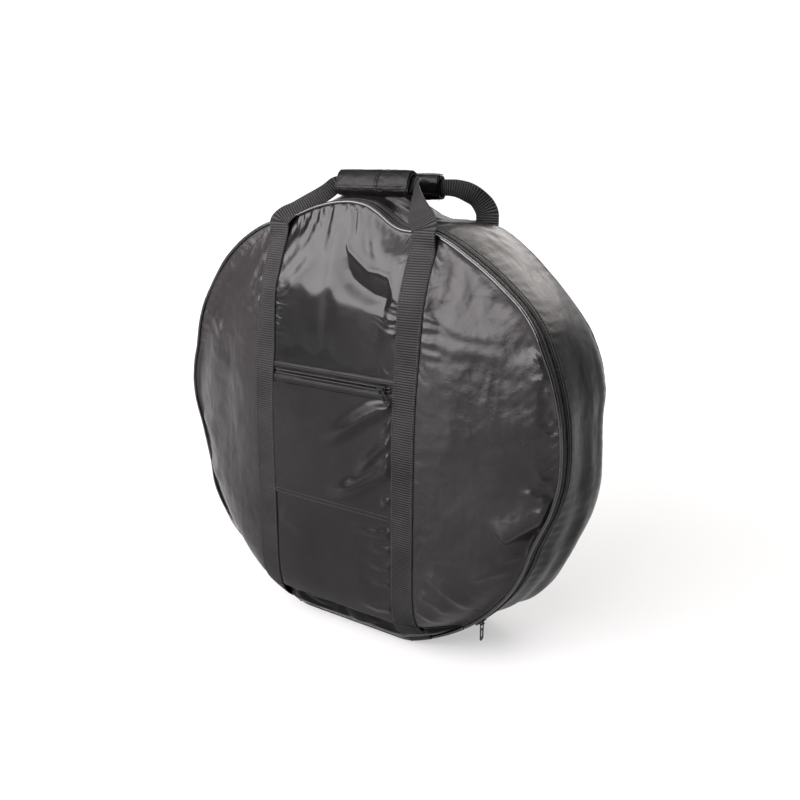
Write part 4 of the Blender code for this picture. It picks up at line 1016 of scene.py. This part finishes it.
# ------------------------------------------------------------- main zipper
def zip_band(name, a0, a1, ya, yb, ridges, body, n, *nodes):
    a = np.linspace(a0, a1, n)
    k = np.linspace(0, 1, 19)
    A, K = np.meshgrid(a, k, indexing="ij")
    Y = ya + (yb - ya) * K
    r = rim(A) + between(A, Y)
    for where, height, width in ridges:
        r = r + height * np.exp(-((Y - where) / width) ** 2)
    # seam allowance that turns in behind the piping
    r = r - 0.0043 * smooth((YF + PIPE_R + 0.0010 - Y) / 0.0030)
    r = r + 0.0003 * noise2(np.radians(A) * 60, Y * 120, 121)
    P = ring_xyz(A, r, Y)
    ref = np.stack([np.cos(np.radians(A)), 0 * A, np.sin(np.radians(A))], -1)
    ob = shell(name, P, 0.0008, ref, np.stack([np.radians(A) * 0.35, Y], -1), sharp=70)
    put(ob, TAPE, body, *nodes, slot="zip_tape")
    return P


ZIP_A0, ZIP_A1, LID_A0, LID_A1 = -52.4, 232.4, -48.3, 228.3
zip_band("zip_tape_lid_side", LID_A0, LID_A1, YF + 0.0003, ZIP_Y - 0.0010,
         [(YF + 0.0062, 0.0010, 0.0016), (YF + 0.0112, 0.0008, 0.0010)], "lid_bend", 560, "main_zip_tape_lid")
zip_band("zip_tape_body_side", ZIP_A0, ZIP_A1, ZIP_Y + 0.0010, TAPE_FAR,
         [(ZIP_Y + 0.0072, 0.0008, 0.0010), (ZIP_Y + 0.0128, 0.0011, 0.0018)], "bag_body", 560,
         "main_zip_tape_body")


def coil_ring(name, a0, a1, yc, body, *nodes):
    pitch = 0.0019
    length = math.radians(a1 - a0) * BAG_R
    n = int(length / pitch * 4)
    a = np.linspace(a0, a1, n)
    r = rim(a) + between(a, np.full_like(a, yc)) + 0.0003 + 0.0012
    path = ring_xyz(a, r, np.full_like(a, yc))
    N = np.stack([np.cos(np.radians(a)), 0 * a, np.sin(np.radians(a))], -1)
    B = np.tile(np.array([0.0, 1.0, 0.0]), (n, 1))
    phase = np.arange(n) % 4
    k = np.array([0.72, 1.0, 1.0, 0.78])[phase]
    ob = tube(name, path, (0.0012 * k, 0.0015 * (0.85 + 0.15 * k)), (N, B), 6, False)
    put(ob, COIL, body, *nodes, slot="zip_coil")


coil_ring("zip_coil_lid_side", LID_A0, LID_A1, ZIP_Y - 0.0024, "lid_bend", "main_zip_coil_lid")
coil_ring("zip_coil_body_side", ZIP_A0 + 1.1, ZIP_A1 - 1.1, ZIP_Y + 0.0024, "bag_body", "main_zip_coil_body")

# stitch rows on both zipper tapes
for label, yy, a0, a1, body in (("lid", YF + 0.0062, LID_A0, LID_A1, "lid_bend"),
                                ("body", ZIP_Y + 0.0128, ZIP_A0, ZIP_A1, "bag_body")):
    a = np.linspace(a0 + 1, a1 - 1, 500)
    r = rim(a) + between(a, np.full_like(a, yy)) + 0.0011
    N = np.stack([np.cos(np.radians(a)), 0 * a, np.sin(np.radians(a))], -1)
    ob = stitches("zip_stitching_" + label, ring_xyz(a, r, np.full_like(a, yy)), N, 0.0046, 0.0030)
    put(ob, THREAD, body)

# ------------------------------------------------------------ pocket zipper
e = 0.01
slope = float(front_base(0.0, POCKET_Z + e) - front_base(0.0, POCKET_Z - e)) / (2 * e)
cad_lo, cad_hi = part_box("pocket_zip_tape_upper")
dy_cad = (YF - bulge_shape(np.array(0.0), np.array(POCKET_Z + e - ZC), BULGE_F)
          - (YF - bulge_shape(np.array(0.0), np.array(POCKET_Z - e - ZC), BULGE_F))) / (2 * e)
UP = np.array([0.0, float(dy_cad), 1.0])
UP = UP / np.linalg.norm(UP)
OUT = np.array([0.0, -1.0, float(dy_cad)])
OUT = OUT / np.linalg.norm(OUT)
AT = np.array([0.0, float(YF - bulge_shape(np.array(0.0), np.array(POCKET_Z - ZC), BULGE_F)), POCKET_Z]) - OUT * 0.0014


def pocket_strip(name, v0, v1, profile, node_name):
    """Half of the pocket zipper with its folded hem, across the front."""
    n, m = 110, 22
    x = np.linspace(-0.1240, 0.1240, n)
    v = np.linspace(v0, v1, m)
    Xg, Vg = np.meshgrid(x, v, indexing="ij")
    lift = np.interp(np.abs(Vg), profile[0], profile[1])
    lift = lift + 0.00035 * noise2(Xg * 55, Vg * 90, 131) * smooth((np.abs(Vg) - 0.005) / 0.002)
    P = AT + Xg[..., None] * np.array([1.0, 0, 0]) + Vg[..., None] * UP + lift[..., None] * OUT
    ob = shell(name, P, 0.0008, OUT, np.stack([Xg, Vg], -1), sharp=60)
    put(ob, HEMCLOTH, "lid", node_name, slot="zip_tape")
    return ob


PROFILE = ([0.0010, 0.0058, 0.0066, 0.0076, 0.0122, 0.0130, 0.0154],
           [0.0000, 0.0000, 0.0014, 0.0017, 0.0018, 0.0014, 0.0012])
pocket_strip("pocket_zip_upper_hem", 0.0010, SLOT_H - 0.0006, PROFILE, "pocket_zip_tape_upper")
pocket_strip("pocket_zip_lower_hem", -0.0010, -SLOT_H + 0.0006, PROFILE, "pocket_zip_tape_lower")
for label, sign in (("upper", 1), ("lower", -1)):
    pitch = 0.0017
    half = STRAP_X - STRAP_W / 2 - 0.0045
    n = int(2 * half / pitch * 4)
    x = np.linspace(-half, half, n)
    path = AT + x[:, None] * np.array([1.0, 0, 0]) + sign * 0.0024 * UP + 0.0015 * OUT
    k = np.array([0.72, 1.0, 1.0, 0.78])[np.arange(n) % 4]
    ob = tube("pocket_coil_" + label, path, (0.0012 * k, 0.0015 * (0.85 + 0.15 * k)),
              (np.tile(OUT, (n, 1)), np.tile(UP, (n, 1))), 6, False)
    put(ob, COIL, "lid", "pocket_zip_coil_" + label, slot="zip_coil")
    for row, vv in enumerate((0.0094,)):
        x = np.linspace(-0.112, 0.112, 60)
        line = AT + x[:, None] * np.array([1.0, 0, 0]) + sign * vv * UP + 0.0019 * OUT
        put(stitches("pocket_hem_stitching_" + label, line, np.tile(OUT, (60, 1)), 0.0040, 0.0026), THREAD, "lid")

# seam stitching below the pocket
rows = []
for dz in (-0.0028, 0.0028):
    x = np.linspace(-0.112, 0.112, 120)
    z = np.full_like(x, POCKET_SEAM + dz)
    y = front_surface(x, z) - 0.0017 + 0.0004
    rows.append(stitches("s", np.stack([x, y, z], -1), np.tile([0.0, -1.0, 0.0], (120, 1)), 0.0040, 0.0026))
put(joined("pocket_seam_stitching", rows), THREAD, "lid")

# ------------------------------------------------------------------ straps
HW = STRAP_W / 2


def ribbed(s, pitch=0.0036, deep=0.00036):
    return deep * np.sin(2 * np.pi * s / pitch)


def strap_sheet(name, surface, cx, body, nodes, ref):
    """Webbing lying along a surface: surface(x) gives a column's (y, z) run."""
    k = np.array([-1, -0.985, -0.94, -0.86, -0.6, -0.3, 0, 0.3, 0.6, 0.86, 0.94, 0.985, 1.0])
    edge = np.array([-0.0006, -0.0001, 0.00012, 0, 0, 0, 0, 0, 0, 0, 0.00012, -0.0001, -0.0006])
    cols = [surface(cx + f * (HW - 0.0002)) for f in k]
    y, z = cols[6]
    s = np.concatenate([[0], np.cumsum(np.hypot(np.diff(y), np.diff(z)))])
    q = np.linspace(0, s[-1], max(int(s[-1] / 0.0009), 20))
    drift = 0.0006 * noise2(q * 9, 0 * q + cx * 40, 141)
    P = np.zeros((len(q), len(k), 3))
    for j, (y, z) in enumerate(cols):
        P[:, j] = np.stack([cx + k[j] * (HW - 0.0002) + drift, np.interp(q, s, y), np.interp(q, s, z)], -1)
    N = grid_normals(P)
    if (N * np.asarray(ref, float)).sum() < 0:
        N = -N
    lift = 0.0014 + ribbed(q)[:, None] * (np.abs(k) < 0.95)[None, :] + edge[None, :]
    U = np.broadcast_to(k[None, :] * HW, lift.shape)
    outer = P + N * lift[..., None]
    outer[..., 2] = np.maximum(outer[..., 2], 0.0002)
    ob = shell(name, outer, STRAP_T * 0.85, ref, np.stack([U, np.broadcast_to(q[:, None], U.shape)], -1), sharp=None, N=N)
    put(ob, WEB, body, *nodes, slot="webbing")
    rows = []
    for j in (3, 9):
        rows.append(stitches("s", (P + N * 0.0017)[::4, j], N[::4, j], 0.0044, 0.0028))
    put(joined(name + "_stitching", rows), THREAD, body)
    return q[-1]


def low_z(x):
    return ZC - float(rim_depth(x))


def front_run(x):
    """Down the cloth from just below the rim, where the webbing leaves it."""
    z = np.linspace(FOLD_Z + 0.0012, 0.6430, 260)
    y = front_base(np.full_like(z, x), z) - 0.0003
    leave = smooth((z - 0.602) / 0.038)
    line = -0.0750 + (0.6430 - z) * -0.28
    return y * (1 - leave) + np.minimum(line, y) * leave, z


def back_run(x):
    z = np.linspace(low_z(x) + 0.0235, 0.6430, 240)
    y = back_surface(np.full_like(z, x), z) + 0.0003
    leave = smooth((z - 0.602) / 0.038)
    line = 0.0985 + (0.6430 - z) * 0.20
    return y * (1 - leave) + np.maximum(line, y) * leave, z


def under_run(x):
    """From the fold down the front lip, along the floor, up the back lip."""
    low = low_z(x)
    z0 = np.linspace(FOLD_Z - 0.0012, low + 0.012, 14)
    y0 = front_base(np.full_like(z0, x), z0) - 0.0003
    z1 = np.linspace(low + 0.012, low + 0.0228, 6)
    y1 = back_surface(np.full_like(z1, x), z1) + 0.0003
    by = np.array([YF - 0.0062, YF - 0.0030, YF + 0.006, 0.0, YB - 0.006, YB + 0.0030, YB + 0.0058])
    bz = low + np.array([0.0056, 0.0014, 0.0003, 0.0003, 0.0003, 0.0014, 0.0056])
    py, pz = np.concatenate([y0, by, y1]), np.concatenate([z0, bz, z1])
    fine = np.linspace(0, len(py) - 1, 170)
    py, pz = np.interp(fine, np.arange(len(py)), py), np.interp(fine, np.arange(len(pz)), pz)
    kern = np.hanning(9)
    kern = kern / kern.sum()
    py = np.convolve(np.pad(py, 4, mode="edge"), kern, mode="valid")
    pz = np.convolve(np.pad(pz, 4, mode="edge"), kern, mode="valid")
    return py, np.maximum(pz, 0.0016)


STRAP_LEN = {}
for side_name, cx in (("left", -STRAP_X), ("right", STRAP_X)):
    STRAP_LEN["front_" + side_name] = strap_sheet("front_webbing_" + side_name, front_run, cx, "lid_bend",
                                                  ["front_strap_" + side_name], (0, -1, 0))
    STRAP_LEN["back_" + side_name] = strap_sheet("back_webbing_" + side_name, back_run, cx, "bag_body",
                                                 ["back_strap_" + side_name], (0, 1, 0))
    STRAP_LEN["under_" + side_name] = strap_sheet("under_webbing_" + side_name, under_run, cx, "bag_body",
                                                  ["under_strap_" + side_name], (0, 0, -1))


# ----------------------------------------------------------------- handles
def catmull(points, n):
    pts = [points[0] * 2 - points[1]] + list(points)
    last = points[-2].copy()
    last[0] = 2 * points[-1][0] - points[-2][0]
    pts.append(last)
    out = []
    for i in range(1, len(pts) - 2):
        p0, p1, p2, p3 = pts[i - 1:i + 3]
        for k in range(n):
            t = k / n
            out.append(0.5 * ((2 * p1) + (p2 - p0) * t + (2 * p0 - 5 * p1 + 4 * p2 - p3) * t * t
                              + (3 * p1 - p0 - 3 * p2 + p3) * t ** 3))
    out.append(points[-1])
    return np.array(out)


def handle_webbing(name, leg, grip, tilt, body, node_name, sgn_right=1):
    """Twisting webbing from strap to grip to strap, ribs in the mesh."""
    inside = GRIP_HALF + 0.0040
    right = catmull([np.array(p, float) for p in leg] + [np.array((inside, *grip))], 16)
    left = right * np.array([-1.0, 1, 1])
    path = np.concatenate([left, [[0.0, *grip]], right[::-1]])
    s = np.concatenate([[0], np.cumsum(np.linalg.norm(np.diff(path, axis=0), axis=1))])
    n = int(s[-1] / 0.0011)
    q = np.linspace(0, s[-1], n)
    path = np.stack([np.interp(q, s, path[:, c]) for c in range(3)], -1)
    kern = np.hanning(13)
    kern = kern / kern.sum()
    path = np.stack([np.convolve(np.pad(path[:, c], 6, mode="reflect", reflect_type="odd"), kern, mode="valid")
                     for c in range(3)], -1)
    T = np.gradient(path, axis=0)
    T = T / np.linalg.norm(T, axis=1, keepdims=True)
    upv = np.array([0, math.sin(math.radians(tilt)), math.cos(math.radians(tilt))])
    uu = np.clip((np.abs(path[:, 0]) - inside) / (STRAP_X - 0.003 - inside), 0, 1)
    sm = smooth(uu)[:, None]
    sg = np.where(path[:, 0] < 0, 1.0, -1.0)[:, None]
    W = np.array([-1.0, 0, 0]) * sg * sm + upv * (1 - sm)
    W = W - T * (W * T).sum(1, keepdims=True)
    W = W / np.linalg.norm(W, axis=1, keepdims=True)
    NN = np.cross(T, W)
    hw = 0.0122 + (HW - 0.0122) * sm[:, 0] ** 1.2
    k = np.array([-1, -0.97, -0.88, -0.5, 0, 0.5, 0.88, 0.97, 1.0])
    cup = (k ** 2)[None, :] * 0.0012 * (1 - sm)
    rib = ribbed(q, deep=0.00028)[:, None] * (np.abs(k) < 0.95)[None, :]
    P = path[:, None, :] + W[:, None, :] * (k[None, :] * hw[:, None])[..., None] \
        + NN[:, None, :] * (rib - cup)[..., None]
    U = np.broadcast_to(k[None, :] * HW, P.shape[:2])
    N = np.broadcast_to(NN[:, None, :], P.shape)
    ob = shell(name, P + N * 0.0009, 0.0018, NN[:, None, :], np.stack([U, np.broadcast_to(q[:, None], U.shape)], -1),
               sharp=None, N=np.array(N))
    put(ob, WEB, body, node_name, slot="webbing")
    return q[-1]


YS = 0.0130
front_leg = [(STRAP_X, -0.0762, 0.6375), (STRAP_X, -0.0742, 0.6460), (0.1215, -0.0655, 0.6580),
             (0.1075, -0.0525, 0.6670), (0.0925, -0.0360, 0.6780), (0.0800, -0.0205, 0.6895)]
back_leg = [(STRAP_X, 0.0985, 0.6375), (STRAP_X, 0.0990, 0.6480), (STRAP_X - 0.0006, 0.0980, 0.6590),
            (STRAP_X - 0.0075, 0.0945, 0.6720), (STRAP_X - 0.0190, 0.0880, 0.6835), (0.0905, 0.0805, 0.6925)]
FRONT_TILT, BACK_TILT = 22.0, -8.0
LEN_FRONT_HANDLE = handle_webbing("front_carry_webbing", front_leg, FRONT_GRIP, FRONT_TILT, "front_handle",
                                  "front_handle_webbing")
LEN_BACK_HANDLE = handle_webbing("back_carry_webbing", back_leg, BACK_GRIP, BACK_TILT, "back_handle",
                                 "back_handle_webbing")


def oval(t, k):
    c, s = np.cos(t), np.sin(t)
    e = 2.0 / 2.8
    return (GRIP_THICK + k) * np.sign(c) * np.abs(c) ** e, (GRIP_TALL + k) * np.sign(s) * np.abs(s) ** e


def grip_place(x, u, v, grip, tilt):
    a = math.radians(tilt)
    y = u * math.cos(a) + v * math.sin(a)
    z = -u * math.sin(a) + v * math.cos(a)
    return np.stack(np.broadcast_arrays(x, grip[0] + y, grip[1] + z), -1)


def grip(name, place, tilt, body, seed, wrap_node, flap_node):
    """Padded sleeve round the webbing with its overlapping flap."""
    nx, nt = 96, 72
    x = np.linspace(-GRIP_HALF, GRIP_HALF, nx)
    t = np.linspace(0, 2 * np.pi, nt, endpoint=False)
    Tg, Xg = np.meshgrid(t, x, indexing="ij")
    q = Xg / GRIP_HALF
    puff = -0.0012 * np.abs(q) ** 6 + 0.0006 * (1 - q ** 2)
    puff = puff + 0.0007 * fbm(Xg * 55, Tg * 1.6, seed, 3) + 0.0004 * crinkle(Xg * 70, Tg * 2.4, seed + 3)
    puff = puff - 0.0016 * np.exp(-((Xg - 0.010) / 0.0022) ** 2) * np.exp(-((Tg - 3.6) / 0.7) ** 2)
    hemline = np.exp(-((GRIP_HALF - np.abs(Xg) - 0.0055) / 0.0008) ** 2)
    puff = puff - 0.0006 * hemline
    uo, vo = oval(Tg, puff)
    P = grip_place(Xg, uo, vo, place, tilt)
    cu, cv = oval(Tg, -0.0042)
    ref = grip_place(0 * Xg, uo, vo, (0, 0), tilt)
    ob = shell(name + "_wrap", P, 0.0034, ref, np.stack([Xg, Tg * 0.016], -1), wrap=True, sharp=50)
    put(ob, GRIPCLOTH, body, wrap_node, slot="grip_cloth")
    # flap over the front and top
    t = np.linspace(math.radians(62), math.radians(205), 40)
    x = np.linspace(-GRIP_HALF + 0.0012, GRIP_HALF - 0.0012, nx)
    Tg, Xg = np.meshgrid(t, x, indexing="ij")
    k = 0.0021 + 0.0005 * fbm(Xg * 50, Tg * 2.0, seed + 7, 3) + 0.0003 * crinkle(Xg * 60, Tg * 3, seed + 9)
    endk = np.exp(-((Tg - t[-1]) / 0.10) ** 2)
    k = k + 0.0008 * endk * (0.6 + 0.6 * noise2(Xg * 45, Tg * 0, seed + 11))
    k = k - 0.0006 * np.exp(-((Tg - t[-1] + 0.22) / 0.05) ** 2) - 0.0011 * np.abs(Xg / GRIP_HALF) ** 6
    k = k - 0.0014 * np.exp(-((Xg - 0.010) / 0.0024) ** 2) * smooth((Tg - 2.0) / 0.8)
    uo, vo = oval(Tg, k)
    P = grip_place(Xg, uo, vo, place, tilt)
    ref = grip_place(0 * Xg, uo, vo, (0, 0), tilt)
    ob = shell(name + "_flap", P, 0.0013, ref, np.stack([Xg, Tg * 0.016], -1), sharp=50)
    put(ob, GRIPCLOTH, body, flap_node, slot="grip_cloth")
    rows = []
    for tt, kk in ((t[-1] - 0.22, 0.0019), (t[0] + 0.25, 0.0024)):
        xx = np.linspace(-GRIP_HALF + 0.005, GRIP_HALF - 0.005, 60)
        uo, vo = oval(np.full_like(xx, tt), kk)
        pts = grip_place(xx, uo, vo, place, tilt)
        nn = grip_place(0 * xx, uo, vo, (0, 0), tilt)
        rows.append(stitches("s", pts, nn / np.linalg.norm(nn, axis=1, keepdims=True), 0.0040, 0.0026))
    for xx in (-GRIP_HALF + 0.0055, GRIP_HALF - 0.0055):
        tt = np.linspace(math.radians(210), math.radians(415), 60)
        uo, vo = oval(tt, 0.0)
        pts = grip_place(np.full_like(tt, xx), uo, vo, place, tilt)
        nn = grip_place(0 * tt, uo, vo, (0, 0), tilt)
        rows.append(stitches("s", pts, nn / np.linalg.norm(nn, axis=1, keepdims=True), 0.0040, 0.0026))
    put(joined(name + "_stitching", rows), THREAD, body)


grip("front_grip_sleeve", FRONT_GRIP, FRONT_TILT, "front_handle", 151, "front_grip_wrap", "front_grip_flap")
grip("back_grip_sleeve", BACK_GRIP, BACK_TILT, "back_handle", 181, "back_grip_wrap", "back_grip_flap")

# ------------------------------------------------------- frame nodes' looks
PIVOT = AT + np.array([0.094, 0, 0]) + OUT * (0.0003 + 0.0024 + 0.0005 + 0.0013 + 0.0018)
co = np.array([v.co for v in NODES["pocket_zip_pull"].data.vertices], float) - PIVOT
turn = math.radians(-52)
cx_, cy_, cz_ = co[:, 0], co @ UP, co @ OUT
px = cx_ * math.cos(turn) - cy_ * math.sin(turn)
py = cx_ * math.sin(turn) + cy_ * math.cos(turn)
V = PIVOT + px[:, None] * np.array([1.0, 0, 0]) + py[:, None] * UP + (cz_ + 0.0006)[:, None] * OUT
ob = add_mesh("pocket_pull_tab", V, [tuple(p.vertices) for p in NODES["pocket_zip_pull"].data.polygons], None, 35)
bev = ob.modifiers.new("soft_edges", "BEVEL")
bev.width, bev.segments, bev.limit_method = 0.0004, 2, "ANGLE"
put(ob, METAL, "pocket_pull", "pocket_zip_pull", slot="zip_metal")
for name in ("main_zip_slider", "main_zip_pull", "pocket_zip_slider",
             "main_zip_stop_left", "main_zip_stop_right"):
    ob = NODES[name]
    ob.data.materials.clear()
    ob.data.materials.append(METAL)
    bev = ob.modifiers.new("soft_edges", "BEVEL")
    bev.width = 0.00035
    bev.segments = 2
    bev.limit_method = "ANGLE"
for name, mat in (("bottom_hinge_strip", GLOSSY),):
    ob = NODES[name]
    ob.data.materials.clear()
    ob.data.materials.append(mat)

# ------------------------------------------------------------ floor, lights
scene = bpy.context.scene
scene.view_settings.view_transform = "Standard"
mesh = bpy.data.meshes.new("floor")
mesh.from_pydata([(-9, -9, -0.0006), (9, -9, -0.0006), (9, 9, -0.0006), (-9, 9, -0.0006)], [], [(0, 1, 2, 3)])
floor = bpy.data.objects.new("floor", mesh)
scene.collection.objects.link(floor)
mat, nt, b = new_material("pale_floor")
b.inputs["Roughness"].default_value = 0.8
b.inputs["Specular IOR Level"].default_value = 0.2
# even pale paper: its own glow makes up for the lamps' falling off with distance
# from the bag, the same in every direction
ftc = nt.nodes.new("ShaderNodeTexCoord")
flen = nt.nodes.new("ShaderNodeVectorMath")
flen.operation = "LENGTH"
nt.links.new(ftc.outputs["Object"], flen.inputs[0])
far = nt.nodes.new("ShaderNodeMapRange")
far.interpolation_type = "SMOOTHSTEP"
nt.links.new(flen.outputs["Value"], far.inputs["Value"])
far.inputs["From Min"].default_value, far.inputs["From Max"].default_value = 0.8, 2.4
far.inputs["To Min"].default_value, far.inputs["To Max"].default_value = 0.47, 1.07
nt.links.new(far.outputs["Result"], b.inputs["Emission Strength"])
b.inputs["Emission Color"].default_value = (1, 1, 1, 1)
b.inputs["Base Color"].default_value = grey(0.24)
mesh.materials.append(mat)

world = bpy.data.worlds.new("studio")
scene.world = world
world.use_nodes = True
wt = world.node_tree
wt.nodes.clear()
wout = wt.nodes.new("ShaderNodeOutputWorld")
wbg = wt.nodes.new("ShaderNodeBackground")
wt.links.new(wbg.outputs[0], wout.inputs[0])
wtc = wt.nodes.new("ShaderNodeTexCoord")
wsep = wt.nodes.new("ShaderNodeSeparateXYZ")
wt.links.new(wtc.outputs["Generated"], wsep.inputs[0])
wt.links.new(ramp(wt, maths(wt, "ADD", maths(wt, "MULTIPLY", wsep.outputs[1], 0.5), 0.5),
                  [(0.67, grey(0.16)), (0.755, grey(1.05))]), wbg.inputs["Color"])
wbg.inputs["Strength"].default_value = 1.0

AIM = Vector((0.0, 0.0, 0.35))


def softbox(name, az, el, dist, w, h, radiance, colour=(1, 1, 1)):
    data = bpy.data.lights.new(name, "AREA")
    data.shape = "RECTANGLE"
    data.size, data.size_y = w, h
    data.energy = radiance * math.pi * w * h
    data.color = colour
    ob = bpy.data.objects.new(name, data)
    scene.collection.objects.link(ob)
    a, e2 = math.radians(az), math.radians(el)
    back = Vector((math.sin(a) * math.cos(e2), -math.cos(a) * math.cos(e2), math.sin(e2)))
    ob.location = AIM + back * dist
    ob.rotation_mode = "QUATERNION"
    ob.rotation_quaternion = back.to_track_quat("Z", "Y")
    return ob


softbox("front_box", -20, 30, 2.4, 3.2, 1.45, 17.0, (1.0, 0.955, 0.965))
softbox("front_high_box", -10, 66, 2.4, 3.2, 1.3, 4.0, (1.0, 0.955, 0.965))
softbox("low_front_box", -14, 0, 2.6, 1.0, 1.2, 4.0, (1.0, 0.955, 0.965))
softbox("left_strip", -104, 10, 1.9, 0.36, 1.4, 5.5, (1.0, 0.95, 0.93))
softbox("top_box", 150, 76, 2.3, 2.2, 1.8, 1.9)
softbox("rear_box", 166, 37, 2.6, 2.4, 1.2, 7.0, (1.0, 0.94, 0.91))

# ------------------------------------------------------------------ camera
a, e2 = math.radians(35.98), math.radians(16.19)
back = Vector((math.sin(a) * math.cos(e2), -math.cos(a) * math.cos(e2), math.sin(e2)))
cam_data = bpy.data.cameras.new("camera")
cam = bpy.data.objects.new("camera", cam_data)
scene.collection.objects.link(cam)
cam.location = Vector((0, 0.0135, 0.327)) + back * 1.4957
cam.rotation_mode = "QUATERNION"
cam.rotation_quaternion = (-back).to_track_quat("-Z", "Y")
cam_data.sensor_width = 36.0
cam_data.lens = 920.3 / 800 * 36
cam_data.shift_x, cam_data.shift_y = 0.0203, 0.0258
cam_data.clip_start, cam_data.clip_end = 0.05, 60
scene.camera = cam
